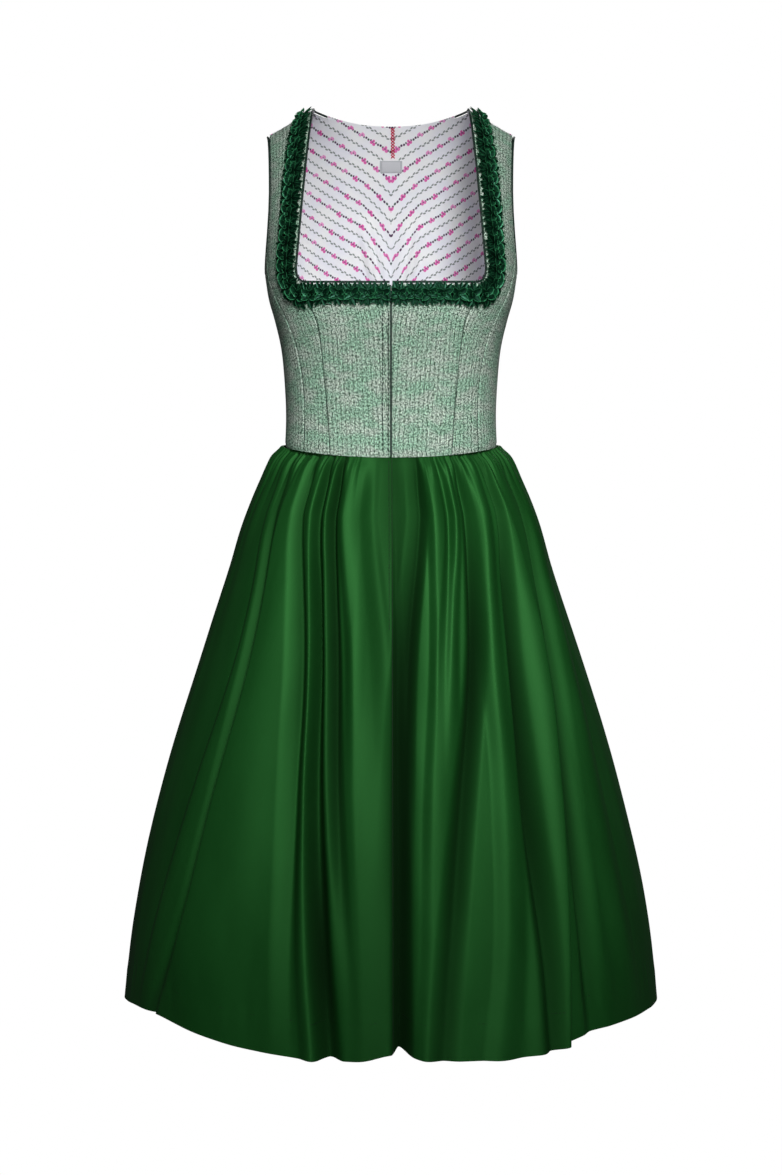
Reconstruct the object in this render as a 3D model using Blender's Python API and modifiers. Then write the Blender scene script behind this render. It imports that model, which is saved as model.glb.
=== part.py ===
"""Dirndl dress: a sleeveless tweed bodice on a gathered satin skirt, hung as it is worn.

Frame: +Z up, -Y the front, +X the wearer's left. The origin lies midway between the
straps at shoulder height, where the wearer's shoulders carry the dress.
Tables and lengths are in millimetres, angles in degrees; MM turns them into metres.
"""
import math

import bmesh
import bpy
import numpy as np

MM = 0.001
SEAM_GAP = 0.3            # clearance between pieces that touch
SIDES = (("left", 1), ("right", -1))

# ---------------------------------------------------------------- driving dimensions
WAIST_SIDE = -385.0       # height of the waist seam at the side
WAIST_DIP = 8.0           # how far the seam drops towards the centre front
UNDERARM = -190.0         # height of the lowest point of the armholes
SHOULDER_Y = 10.0         # the shoulder seam lies this far behind the origin
SECTION_POWER = 2.7       # body sections are flatter in front and behind than an ellipse

BODICE_WALL = 1.2
LINING_WALL = 1.0
LINING_GAP = 0.5
SKIRT_WALL = 1.0
RUCHE_WALL = 1.2

BODICE_SECTIONS = (
    # height, half width, front depth, back depth
    (-400.0, 124.5, 101.0, 93.0),
    (-386.0, 123.5, 100.0, 92.0),
    (-340.0, 122.0, 100.0, 90.0),
    (-300.0, 124.0, 104.5, 93.0),
    (-270.0, 127.5, 111.0, 96.5),
    (-240.0, 134.0, 119.0, 101.0),
    (-215.0, 141.0, 123.0, 104.5),
    (-190.0, 145.0, 122.0, 106.0),
)
BUST_HALF = BODICE_SECTIONS[-1][1]
SHOULDER_LINE = (
    # distance from the middle, height that the column at that distance would reach
    (0.0, 144.0),
    (30.0, 113.0),
    (50.0, 72.0),
    (65.0, 40.0),
    (80.0, 13.0),
    (91.0, 1.5),
    (105.0, -8.5),
    (118.0, -15.5),
    (141.0, -28.5),
    (150.0, -33.0),
)

# Seams and edges of the bodice: angle from the centre front against `rise`, which is
# -1 at the waist, 0 at the underarm and 1 at the shoulder seam.
FRONT_PRINCESS = (
    # rise, angle
    (-1.00, 34.0),
    (-0.72, 36.7),
    (-0.42, 38.2),
    (-0.25, 38.8),
    (-0.145, 41.2),
    (-0.04, 42.5),
)
SIDE_FRONT_SEAM = (
    (-1.00, 54.0),
    (-0.50, 55.5),
    (-0.25, 61.5),
    (-0.08, 70.0),
    (0.12, 78.6),
)
SIDE_BACK_SEAM = (
    (-1.00, 125.0),
    (-0.50, 122.0),
    (-0.20, 113.0),
    (0.12, 101.4),
)
BACK_PRINCESS = (
    (-1.00, 157.0),
    (-0.50, 156.5),
    (0.00, 155.0),
    (0.40, 151.5),
    (0.70, 148.0),
)
NECK_FLOOR = -0.04        # rise of the straight bottom of the neckline
NECK_CORNER = 0.035       # rise where its rounded corner ends
NECK_SIDE_TOP = 38.9      # angle of the neckline at the shoulder seam
NECK_SIDE_SPREAD = 10.1   # further out at its foot
NECK_SIDE_BEND = 1.6
SIDE_FRONT_SPREAD = 0.75  # below 1, the side front's grid lines are closer at its outer edge
NECK_HALF = 91.0          # half width of the neck opening at the shoulder
BACK_NECK_DROP = 16.0     # the back neckline sags this far below the shoulder
BACK_NECK_BEND = 2.2      # 2 would be a parabola; more is flatter in the middle
ARMHOLE_HALF = 18.5       # widest half angle of the armhole
ARMHOLE_WIDEST = 0.41     # rise where it is widest
ARMHOLE_ROUND = 0.7
ARMHOLE_CLOSE = 5.0       # it narrows by this much towards the shoulder
ARMHOLE_CLOSE_BEND = 1.5
ARMHOLE_JOIN = 0.12       # rise where the side seams meet the armhole
BACK_JOIN = 0.7           # rise where the back princess seams meet the neckline

ZIP_HALF_GAP = 1.1        # the two fronts stand this far from the middle

SKIRT_LENGTH = 650.0
SKIRT_SECTIONS = (
    # drop below the waist seam, half width, front depth, back depth
    (-10.0, 123.0, 100.0, 92.0),
    (0.0, 124.0, 100.5, 92.5),
    (13.0, 135.0, 106.0, 102.0),
    (41.0, 151.0, 118.0, 118.0),
    (83.0, 170.0, 134.0, 136.0),
    (140.0, 188.0, 152.0, 154.0),
    (210.0, 211.0, 173.0, 174.0),
    (324.0, 248.0, 204.0, 203.0),
    (438.0, 280.0, 231.0, 228.0),
    (554.0, 304.0, 254.0, 250.0),
    (650.0, 315.0, 270.0, 264.0),
)
FLAT_LEFT = 13.0          # no gathers nearer the centre front than this, wearer's left
FLAT_RIGHT = 15.0         # and on the wearer's right
GATHERS = 20              # gathers on each side, flat zone to centre back
FRONT_GATHERS = 10        # of these, how many are in the front panel
FLAT_PITCHES = 2          # the flat zone counts as this many gathers in the grid
GATHER_WARP = 0.12        # how uneven their spacing is
GATHER_WARP_CYCLES = 7
GATHER_HEIGHT = 3.4
GATHER_UNEVEN = 0.25      # share by which their heights differ
GATHER_START = 0.3        # share of the height at the waist seam itself
GATHER_RISE = 12.0        # drop over which they grow to their full height
GATHER_REACH = (58.0, 24.0)   # drop over which they die out, and how much that varies

FOLD_DROPS = (65.0, 200.0, 372.0, 560.0, 650.0)   # where the fold tables are given
SKIRT_FOLDS = (
    # across: place over the front's width, 0 right side, 1 left side, at FOLD_DROPS;
    # out: height in mm at the same drops; then half widths either side in degrees, and
    # how far the crest leans over towards the left, in mm
    # name, across x5, out x5, width before, width after, lean
    ("side edge", (.080, .110, .090, .060, .045), (2, 3, 4, 3, 0), 3.0, 6.0, -3),
    ("first hollow", (.100, .130, .125, .095, .060), (-3, -5, -6, -4, 0), 3.0, 3.0, 0),
    ("first flute", (.130, .160, .150, .120, .090), (6, 13, 17, 13, 6), 3.0, 20.0, -3),
    ("second hollow", (.190, .260, .295, .315, .325), (-6, -7, -7, -4, -1), 5.0, 2.6, 0),
    ("narrow ridge", (.225, .285, .315, .345, .360), (5, 7, 8, 8, 7), 2.6, 2.2, 2),
    ("black hollow", (.245, .298, .334, .370, .388), (-7, -10, -13, -13, -10), 2.2, 3.6, 0),
    ("middle ridge", (.280, .327, .364, .410, .430), (5, 6, 5, 1, 0), 2.8, 2.8, 0),
    ("inner hollow", (.300, .350, .385, .420, .440), (-7, -8, -6, -1, 0), 2.6, 2.4, 0),
    ("front flute", (.340, .400, .425, .450, .455), (7, 8, 6, 3, 2), 3.4, 11.0, 0),
    ("front dip", (.424, .473, .500, .500, .500), (-3, -3, 0, 0, 0), 4.0, 4.0, 0),
    ("centre flat", (.510, .510, .500, .500, .500), (-8, -12, -3, 0, 0), 13.0, 12.0, 0),
    ("seam hollow", (.514, .514, .514, .514, .514), (0, -3, -12, -16, -17), 1.5, 3.2, 0),
    ("underlap", (.608, .556, .530, .520, .520), (-9, -12, -5, 0, 0), 6.5, 2.6, 0),
    ("left flute", (.645, .625, .590, .575, .565), (6, 7, 5, 4, 3), 2.8, 7.0, 0),
    ("left dip", (.700, .640, .600, .600, .600), (-5, -2, 0, 0, 0), 2.4, 2.4, 0),
    ("left ridge", (.722, .665, .630, .620, .620), (4, 4, 0, 0, 0), 2.6, 2.6, 0),
    ("left hollow", (.770, .730, .657, .606, .592), (-8, -10, -8, -5, -4), 4.2, 3.6, 0),
    ("second flute", (.815, .768, .740, .712, .690), (6, 8, 7, 6, 5), 4.0, 5.0, 0),
    ("hooked hollow", (.873, .827, .790, .779, .777), (-8, -10, -10, -6, -4), 2.6, 3.0, 0),
    ("last flute", (.895, .880, .838, .806, .798), (8, 14, 17, 17, 15), 9.0, 2.6, 6),
    ("last hollow", (.959, .929, .881, .860, .858), (-5, -7, -9, -8, -3), 2.6, 6.0, 0),
    ("side ridge", (.984, .961, .933, .931, .942), (3, 4, 5, 4, 0), 6.0, 6.0, 0),
)
FRONT_ONLY = ("centre flat", "seam hollow", "underlap", "front dip")
FOLD_START = 60.0         # the folds grow to their full height over this drop
LEAN_START = 200.0        # and lean over only below this
BACK_SCALE = 0.9          # the back's folds are the front's, turned round and a little lower
BACK_LEAN = 0.65          # share of the front's lean that they keep
BACK_DRIFT = 4.0          # and out of step with them by up to this angle

SEAM_TURN = 0.3           # the front seam lies this far to the left of the middle
SEAM_LIFT = 2.0           # the right front laps onto it, this proud of the left front
HEM_RISES = (
    # angle towards the left, how much shorter the skirt hangs there
    (-180.0, 0.0),
    (-100.0, 0.0),
    (-86.0, 1.0),
    (-78.0, 6.0),
    (-70.0, 11.0),
    (-62.0, 14.0),
    (-55.0, 17.5),
    (-49.0, 14.0),
    (-42.0, 8.0),
    (-36.0, 4.0),
    (-27.0, 1.0),
    (-13.0, -2.0),
    (0.0, 0.0),
    (14.0, -2.5),
    (27.0, -5.0),
    (34.0, -3.0),
    (39.0, 2.0),
    (45.0, 7.0),
    (51.0, 8.0),
    (62.0, 6.5),
    (74.0, 4.0),
    (86.0, 0.0),
    (180.0, 0.0),
)
HEM_NOTCH = 7.0           # the centre seam pulls the hem up
HEM_NOTCH_SPREAD = 4.0    # in degrees

RUCHE_PITCH = 16.7
RUCHE_HALF = 12.6
RUCHE_NARROWING = 0.06    # share by which it is narrower where it stands up
RUCHE_POINTS = 4          # points of its grid in each pitch
RUCHE_END_RISES = (1.035, 1.07)   # it runs just over the shoulder seam
RUCHE_INSET = 13.4        # from the neck edge to the ruche's middle line
RUCHE_LIFT = 0.8          # its lowest folds clear the bodice by this
RUCHE_RISE = 2.4

PIPING_RADIUS = 1.3
ZIP_TAPE_HALF = 9.0
ZIP_TAPE_WALL = 0.6
ZIP_CHAIN_HALF = 0.8
ZIP_CHAIN_WALL = 1.2
ZIP_LOW = -0.985          # rise where the tape stops, just above the waist seam
ZIP_SLIDER_WALL = 0.7
ZIP_SLIDER_RISES = (-0.115, -0.08)
LABEL_SIZE = (27.0, 14.0)
LABEL_HEIGHT = -59.0
LABEL_WALL = 0.4
LABEL_GAP = 0.9           # it stands off the lining, sewn at its ends

UPPER_DROPS = (0.0, 9.0, 33.0, 74.0, 128.0)       # rows of the skirt between the gathers' feet
LOWER_DROPS = (190.0, 270.0, 370.0, 490.0, SKIRT_LENGTH)
COLUMNS_PER_GATHER = 6

FINISHES = {
    # finish: colour, roughness
    "tweed": ((0.22, 0.32, 0.25), 0.9),
    "satin": ((0.025, 0.16, 0.035), 0.35),
    "bottle": ((0.006, 0.055, 0.028), 0.4),
    "piping": ((0.006, 0.014, 0.01), 0.6),
    "print": ((0.82, 0.80, 0.88), 0.8),
    "zip": ((0.02, 0.04, 0.03), 0.5),
    "label": ((0.5, 0.5, 0.52), 0.7),
}


# ------------------------------------------------------------------ reading the tables
def read(places, values, at):
    """Value at a place between a table's rows, with no kink at the rows."""
    places = np.asarray(places, float)
    values = np.asarray(values, float)
    slopes = np.gradient(values, places)
    low = np.clip(np.searchsorted(places, at) - 1, 0, len(places) - 2)
    span = places[low + 1] - places[low]
    part = np.clip((at - places[low]) / span, 0.0, 1.0)
    rest = 1.0 - part
    return (values[low] * (1 + 2 * part) * rest ** 2 + values[low + 1] * (3 - 2 * part) * part ** 2
            + span * part * rest * (slopes[low] * rest - slopes[low + 1] * part))


def seam(table, rise):
    places, angles = np.array(table).T
    return read(places, angles, rise)


def normals(across, along):
    """Unit normals from two sets of tangents."""
    cross = np.cross(across, along)
    return cross / np.linalg.norm(cross, axis=-1, keepdims=True)


# --------------------------------------------------------------------- bodice surface
def waist_height(angle):
    front = np.maximum(np.cos(np.radians(angle)), 0.0)
    return WAIST_SIDE - WAIST_DIP * front ** 2


def bodice_point(angle, rise):
    """A point of the bodice's outer face, in mm."""
    angle, rise = np.broadcast_arrays(np.asarray(angle, float), np.asarray(rise, float))
    heights, widths, fronts, backs = np.array(BODICE_SECTIONS).T
    low = np.minimum(rise, 0.0)
    high = np.maximum(rise, 0.0)
    z = UNDERARM + low * (UNDERARM - waist_height(angle))
    sine = np.sin(np.radians(angle))
    facing_front = np.cos(np.radians(angle)) > 0
    depth = np.where(facing_front, -read(heights, fronts, z), read(heights, backs, z))
    y = depth * (1.0 - np.abs(sine) ** SECTION_POWER).clip(0.0) ** (1.0 / SECTION_POWER)
    x = read(heights, widths, z) * sine
    sides, tops = np.array(SHOULDER_LINE).T
    turn = np.radians(90.0 * high)
    y = np.where(rise > 0, SHOULDER_Y + (y - SHOULDER_Y) * np.cos(turn), y)
    z = z + (read(sides, tops, np.abs(x)) - UNDERARM) * np.sin(turn)
    return np.stack([x, y, z], axis=-1)


def bodice_tangents(angle, rise):
    step_angle, step_rise = 0.2, 0.002
    across = bodice_point(angle + step_angle, rise) - bodice_point(angle - step_angle, rise)
    along = bodice_point(angle, rise + step_rise) - bodice_point(angle, rise - step_rise)
    return across / (2 * step_angle), along / (2 * step_rise)


def bodice(angle, rise, out=0.0):
    """The bodice surface, moved out along its normal."""
    angle, rise, out = np.broadcast_arrays(angle, rise, out)
    return bodice_point(angle, rise) + out[..., None] * normals(*bodice_tangents(angle, rise))


def neck_side(rise):
    return NECK_SIDE_TOP + NECK_SIDE_SPREAD * (1.0 - np.minimum(rise, 1.0)) ** NECK_SIDE_BEND


def armhole_half(rise):
    """Half angle of the armhole about the side, at a rise from 0 to 1."""
    foot = np.clip(rise / ARMHOLE_WIDEST, 0.0, 1.0)
    head = np.clip((rise - ARMHOLE_WIDEST) / (1.0 - ARMHOLE_WIDEST), 0.0, 1.0)
    opened = ARMHOLE_HALF * np.sin(math.pi / 2 * foot ** ARMHOLE_ROUND)
    return opened - ARMHOLE_CLOSE * head ** ARMHOLE_CLOSE_BEND


def armhole_floor(angle):
    """Rise of the armhole's lower curve at an angle near the side."""
    share = np.clip(np.abs(angle - 90.0) / ARMHOLE_HALF, 0.0, 1.0)
    return ARMHOLE_WIDEST * (np.arcsin(share) * 2 / math.pi) ** (1 / ARMHOLE_ROUND)


def back_neck(angle):
    """Rise of the back neckline; 1 where the panel reaches the shoulder seam instead."""
    sides, tops = np.array(SHOULDER_LINE).T
    aside = BUST_HALF * np.abs(np.sin(np.radians(angle)))
    edge = -BACK_NECK_DROP * (1.0 - np.minimum(aside / NECK_HALF, 1.0) ** BACK_NECK_BEND)
    share = (edge - UNDERARM) / (read(sides, tops, aside) - UNDERARM)
    return np.where(aside < NECK_HALF, np.arcsin(np.clip(share, 0.0, 1.0)) * 2 / math.pi, 1.0)


def side_front_inner_edge(rise):
    """Inner edge of the side front: princess seam, rounded neck corner, neck edge."""
    share = np.clip((rise - NECK_FLOOR) / (NECK_CORNER - NECK_FLOOR), 0.0, 1.0)
    foot = seam(FRONT_PRINCESS, np.minimum(rise, NECK_FLOOR))
    corner = foot + (neck_side(NECK_CORNER) - foot) * np.sqrt(1.0 - (1.0 - share) ** 2)
    return np.where(rise <= NECK_CORNER, corner, neck_side(rise))


def side_front_outer_edge(rise):
    return np.where(rise < ARMHOLE_JOIN, seam(SIDE_FRONT_SEAM, np.minimum(rise, ARMHOLE_JOIN)),
                    90.0 - armhole_half(rise))


def side_back_outer_edge(rise):
    return np.where(rise < ARMHOLE_JOIN, seam(SIDE_BACK_SEAM, np.minimum(rise, ARMHOLE_JOIN)),
                    90.0 + armhole_half(rise))


def side_back_inner_edge(rise):
    """Inner edge of the side back: princess seam, then the neckline up to the shoulder."""
    angles = np.linspace(BACK_PRINCESS[-1][1], 180.0 - math.degrees(math.asin(NECK_HALF / BUST_HALF)), 40)
    neck = np.interp(rise, back_neck(angles), angles)
    return np.where(rise < BACK_JOIN, seam(BACK_PRINCESS, np.minimum(rise, BACK_JOIN)), neck)


# Each bodice panel maps (share across, rise at its seams) to (angle, rise).
def centre_front(across, rise):
    half_width = read(*np.array(BODICE_SECTIONS).T[:2], UNDERARM + rise * (UNDERARM - WAIST_SIDE))
    inner = np.degrees(np.arcsin(ZIP_HALF_GAP / half_width))
    return inner + (seam(FRONT_PRINCESS, rise) - inner) * across, rise


def side_front(across, rise):
    inner = side_front_inner_edge(rise)
    return inner + (side_front_outer_edge(rise) - inner) * across ** SIDE_FRONT_SPREAD, rise


def side(across, rise):
    front = seam(SIDE_FRONT_SEAM, rise)
    top = 90.0 - armhole_half(ARMHOLE_JOIN) * (1.0 - 2.0 * across)
    stretch = (1.0 + armhole_floor(top)) / (1.0 + ARMHOLE_JOIN)
    return front + (seam(SIDE_BACK_SEAM, rise) - front) * across, -1.0 + (1.0 + rise) * stretch


def side_back(across, rise):
    outer = side_back_outer_edge(rise)
    return outer + (side_back_inner_edge(rise) - outer) * across, rise


def centre_back(across, rise):
    first = BACK_PRINCESS[-1][1]
    princess = seam(BACK_PRINCESS, rise)
    stretch = (1.0 + back_neck(first + (180.0 - first) * across)) / (1.0 + BACK_JOIN)
    return princess + (180.0 - princess) * across, -1.0 + (1.0 + rise) * stretch


RISES = (-1.0, -0.8, -0.6, -0.42, -0.26, -0.12, NECK_FLOOR, -0.036, -0.024, 0.0, NECK_CORNER,
         0.075, ARMHOLE_JOIN, 0.2, 0.3, 0.4, 0.5, 0.6, BACK_JOIN, 0.8, 0.9, 1.0)
BODICE_PANELS = (
    # name, map, columns, rise where it ends
    ("centre_front", centre_front, 5, NECK_FLOOR),
    ("side_front", side_front, 5, 1.0),
    ("side", side, 7, ARMHOLE_JOIN),
    ("side_back", side_back, 4, 1.0),
    ("centre_back", centre_back, 5, BACK_JOIN),
)


# ---------------------------------------------------------------------- skirt surface
def side_flat(side_sign):
    return FLAT_LEFT if side_sign > 0 else FLAT_RIGHT


def gather_angle(side_sign, pitch):
    """Angle from the centre front of a place counted in gathers; the flat zone is below 0."""
    flat = side_flat(side_sign)
    warped = pitch + GATHER_WARP * np.sin(2 * math.pi * GATHER_WARP_CYCLES * pitch / GATHERS)
    gathered = flat + (180.0 - flat) * warped / GATHERS
    return np.where(pitch < 0, flat * (1.0 + pitch / FLAT_PITCHES), gathered)


def gather_lift(side_sign, pitch, drop):
    """Rounded gathers with sharp creases between, each dying out at its own drop."""
    index = np.floor(pitch)
    mean_reach, vary = GATHER_REACH
    reach = mean_reach + vary * np.sin(index * 2.3 + side_sign)
    start = np.minimum(1.0, GATHER_START + drop / GATHER_RISE)
    height = GATHER_HEIGHT * (1.0 + GATHER_UNEVEN * np.sin(index * 1.7)) * start
    height = height * np.exp(-(drop / reach) ** 2)
    crest = np.abs(np.sin(math.pi * pitch))
    return np.where(pitch > 0, crest * height, 0.0)


def bump(offset, before, after):
    """1 at a fold's crest and 0 beyond its two half widths."""
    share = np.where(offset < 0, offset / before, offset / after)
    return (1.0 - np.minimum(np.abs(share), 1.0) ** 2) ** 2


def fold_offsets(angle, drop):
    """How far the folds lift the cloth outwards, and how far they drag it along, in mm."""
    lift = np.zeros(np.broadcast(angle, drop).shape)
    drag = np.zeros_like(lift)
    started = np.sin(0.5 * math.pi * np.clip(drop / FOLD_START, 0.0, 1.0))
    for number, (name, across, out, before, after, lean) in enumerate(SKIRT_FOLDS):
        centre = np.degrees(np.arcsin(2.0 * read(FOLD_DROPS, across, drop) - 1.0))
        height = read(FOLD_DROPS, out, drop) * started
        copies = [(0.0, 1.0, 1.0)]
        if name not in FRONT_ONLY:
            copies.append((180.0 + BACK_DRIFT * math.sin(3.0 * number), BACK_SCALE, BACK_LEAN))
        for turn, scale, lean_share in copies:
            offset = (angle - centre - turn + 180.0) % 360.0 - 180.0
            share = bump(offset, before, after)
            lift = lift + share * height * scale
            drag = drag + share * lean * lean_share * np.clip(drop / LEAN_START, 0.0, 1.0)
    return lift, drag


def skirt(side_sign, pitch, drop, out=0.0):
    """A point of the skirt's outer face, in mm, `drop` below the waist seam."""
    pitch, drop = np.broadcast_arrays(np.asarray(pitch, float), np.asarray(drop, float))
    angle = side_sign * gather_angle(side_sign, pitch)
    lap = np.clip(1.0 - (pitch + FLAT_PITCHES), 0.0, 1.0)
    turned = angle + SEAM_TURN * lap
    drops, widths, fronts, backs = np.array(SKIRT_SECTIONS).T
    half = read(drops, widths, drop)
    lift, drag = fold_offsets(turned, drop)
    turned = turned + np.degrees(drag / half)
    lift = lift + gather_lift(side_sign, pitch, drop) + out
    lift = lift + (SEAM_LIFT * lap if side_sign < 0 else 0.0)
    sine = np.sin(np.radians(turned))
    cosine = np.cos(np.radians(turned))
    depth = np.where(cosine > 0, read(drops, fronts, drop), read(drops, backs, drop))
    outward = np.stack([sine / half, -cosine / depth], axis=-1)
    outward = outward / np.linalg.norm(outward, axis=-1, keepdims=True)
    rise = seam(HEM_RISES, angle) + HEM_NOTCH * np.exp(-(turned / HEM_NOTCH_SPREAD) ** 2)
    rise = rise * (drop / SKIRT_LENGTH) ** 4
    return np.stack([half * sine + lift * outward[..., 0],
                     -depth * cosine + lift * outward[..., 1],
                     waist_height(angle) - SEAM_GAP - drop + rise], axis=-1)


# -------------------------------------------------------------------------- edge paths
def front_neck_edge(last_rise):
    """The left half of the front neckline as (angle, rise) points, from the zip up."""
    rises = np.array(RISES + RUCHE_END_RISES)
    climb = rises[(rises >= NECK_FLOOR) & (rises <= last_rise)]
    floor = np.linspace(0.6, FRONT_PRINCESS[-1][1], 6)[:-1]
    angle = np.concatenate([floor, side_front_inner_edge(climb)])
    return angle, np.concatenate([np.full(len(floor), NECK_FLOOR), climb])


def neck_edge():
    """The left half of the whole neckline, centre front to centre back."""
    front_angle, front_rise = front_neck_edge(1.0)
    rises = np.array(RISES)
    descent = rises[(rises >= BACK_JOIN) & (rises < 1.0)][::-1]
    back = np.linspace(BACK_PRINCESS[-1][1], 179.6, 6)[1:]
    return (np.concatenate([front_angle, side_back_inner_edge(descent), back]),
            np.concatenate([front_rise, descent, back_neck(back)]))


def armhole_edge():
    """The left armhole as (angle, rise) points at the panels' rows, down the front and up the back."""
    climb = np.array([rise for rise in RISES if rise > ARMHOLE_JOIN])
    half = armhole_half(ARMHOLE_JOIN)
    floor = np.linspace(90.0 - half, 90.0 + half, 8)
    angle = np.concatenate([90.0 - armhole_half(climb[::-1]), floor, 90.0 + armhole_half(climb[:-1])])
    return angle, np.concatenate([climb[::-1], armhole_floor(floor), climb[:-1]])


def beside_edge(angle, rise, aside, out):
    """Points of the bodice `aside` mm to the left of a path on it and `out` mm off it."""
    path = bodice_point(angle, rise)
    course = np.diff(path, axis=0)
    course = course / np.linalg.norm(course, axis=-1, keepdims=True)
    course = np.concatenate([course[:1], course[1:] + course[:-1], course[-1:]])
    across, along = bodice_tangents(angle, rise)
    face = normals(across, along)
    sideways = np.cross(face, course)
    sideways = sideways / np.linalg.norm(sideways, axis=-1, keepdims=True)
    moves = []
    for tangent_a, tangent_r, step in zip(across, along, sideways):
        moves.append(np.linalg.lstsq(np.stack([tangent_a, tangent_r], axis=1), step, rcond=None)[0])
    moves = np.array(moves) * np.broadcast_to(aside, angle.shape)[:, None]
    return bodice(angle + moves[:, 0], rise + moves[:, 1], out)


def spaced(points, spacing):
    """Where to read a path so that its points are `spacing` mm apart, as shares of its index."""
    lengths = np.concatenate([[0.0], np.cumsum(np.linalg.norm(np.diff(points, axis=0), axis=1))])
    count = max(2, round(lengths[-1] / spacing) + 1)
    return np.interp(np.linspace(0.0, lengths[-1], count), lengths, np.arange(len(points)))


def resample(values, places):
    index = np.arange(len(values))
    if values.ndim == 1:
        return np.interp(places, index, values)
    return np.stack([np.interp(places, index, column) for column in values.T], axis=-1)


# --------------------------------------------------------------------- making the solids
def make_material(name):
    colour, roughness = FINISHES[name]
    material = bpy.data.materials.new(name)
    material.use_nodes = True
    shader = material.node_tree.nodes["Principled BSDF"]
    shader.inputs["Base Color"].default_value = (*colour, 1.0)
    shader.inputs["Roughness"].default_value = roughness
    return material


def new_object(name, mesh, collection, material):
    piece = bpy.data.objects.new(name, mesh)
    collection.objects.link(piece)
    mesh.materials.append(material)
    mesh.shade_smooth()
    return piece


def grid_sheet(points):
    """A grid whose corners lie at an array of rows and columns of points, in mm."""
    rows, columns = points.shape[0] - 1, points.shape[1] - 1
    form = bmesh.new()
    bmesh.ops.create_grid(form, x_segments=columns, y_segments=rows, size=0.5)
    for vertex, point in zip(form.verts, points.reshape(-1, 3) * MM):
        vertex.co = point
    return form


def wall(name, form, thickness, collection, material, mirrored=False):
    """Turn a grid into a closed wall that grows inwards from its outer face."""
    if mirrored:
        for vertex in form.verts:
            vertex.co.x = -vertex.co.x
        bmesh.ops.reverse_faces(form, faces=form.faces[:])
    mesh = bpy.data.meshes.new(name)
    form.to_mesh(mesh)
    form.free()
    piece = new_object(name, mesh, collection, material)
    solidify = piece.modifiers.new("wall", "SOLIDIFY")
    solidify.thickness = thickness * MM
    solidify.offset = -1.0
    return piece


def towards(edge, beside, distance):
    """Points of an edge moved a little towards the line of points beside it."""
    step = beside - edge
    return edge + step / np.linalg.norm(step, axis=-1, keepdims=True) * distance


def draw_in(grid, distance):
    """Draw a panel's side edges and top in."""
    drawn = grid.copy()
    drawn[:, 0] = towards(grid[:, 0], grid[:, 1], distance)
    drawn[:, -1] = towards(grid[:, -1], grid[:, -2], distance)
    drawn[-1] = towards(drawn[-1], drawn[-2], distance)
    return drawn


def panel_points(panel, columns, last_rise, out=0.0):
    """A bodice panel's grid points as an array of rows, columns and coordinates."""
    rises = [rise for rise in RISES if rise <= last_rise]
    across, rise = np.meshgrid(np.arange(columns + 1) / columns, rises)
    return bodice(*panel(across, rise), out)


def make_bodice(collection, materials):
    for name, panel, columns, last_rise in BODICE_PANELS:
        points = draw_in(panel_points(panel, columns, last_rise), SEAM_GAP)
        for label, sign in SIDES:
            form = grid_sheet(points)
            wall(f"bodice_{name}_{label}", form, BODICE_WALL, collection, materials["tweed"], sign < 0)


def make_lining(collection, materials):
    depth = BODICE_WALL + LINING_GAP
    for name, panel, columns, last_rise in BODICE_PANELS[-2:]:
        points = draw_in(panel_points(panel, columns, last_rise, -depth), SEAM_GAP)
        for label, sign in SIDES:
            form = grid_sheet(points)
            wall(f"lining_{name}_{label}", form, LINING_WALL, collection, materials["print"], sign < 0)


def thin_out(form, columns, first_row):
    """Below `first_row`, drop every second column of a grid."""
    form.verts.ensure_lookup_table()
    width = columns + 1
    spare = []
    for edge in form.edges:
        low, high = sorted(vertex.index for vertex in edge.verts)
        upright = high - low == width
        if upright and (low % width) % 2 == 1 and low // width >= first_row:
            spare.append(edge)
    bmesh.ops.dissolve_edges(form, edges=spare, use_verts=True)


def make_skirt(collection, materials):
    spans = (
        # part, first and last gather of the panel
        ("front", -FLAT_PITCHES, FRONT_GATHERS),
        ("back", FRONT_GATHERS, GATHERS),
    )
    for label, sign in SIDES:
        for part, first, last in spans:
            columns = (last - first) * COLUMNS_PER_GATHER
            pitch, drop = np.meshgrid(np.linspace(first, last, columns + 1), UPPER_DROPS + LOWER_DROPS)
            points = skirt(sign, pitch, drop)
            points[:, -1] = towards(points[:, -1], points[:, -2], SEAM_GAP)
            if part == "back":
                points[:, 0] = towards(points[:, 0], points[:, 1], SEAM_GAP)
            form = grid_sheet(points)
            thin_out(form, columns, len(UPPER_DROPS) - 1)
            if sign > 0:
                bmesh.ops.reverse_faces(form, faces=form.faces[:])
            wall(f"skirt_{part}_{label}", form, SKIRT_WALL, collection, materials["satin"])


def make_ruche(collection, materials):
    angle, rise = front_neck_edge(RUCHE_END_RISES[-1])
    fine = np.linspace(0.0, len(angle) - 1.0, 400)
    angle, rise = resample(angle, fine), resample(rise, fine)
    places = spaced(beside_edge(angle, rise, -RUCHE_INSET, 0.0), RUCHE_PITCH / RUCHE_POINTS)
    places = places[:(len(places) - 1) // RUCHE_POINTS * RUCHE_POINTS + 1]
    angle, rise = resample(angle, places), resample(rise, places)
    wave = np.cos(2 * math.pi / RUCHE_POINTS * np.arange(len(places)))
    rows = []
    for width in (-1.0, 0.0, 1.0):
        height = RUCHE_WALL + RUCHE_LIFT + RUCHE_RISE * (0.5 + 0.5 * wave * (1.0 - 2.0 * abs(width)))
        aside = -RUCHE_INSET + RUCHE_HALF * width * (1.0 - RUCHE_NARROWING * wave)
        rows.append(beside_edge(angle, rise, aside, height))
    for label, sign in SIDES:
        form = grid_sheet(np.array(rows))
        wall(f"ruche_{label}", form, RUCHE_WALL, collection, materials["bottle"], sign < 0)


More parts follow.
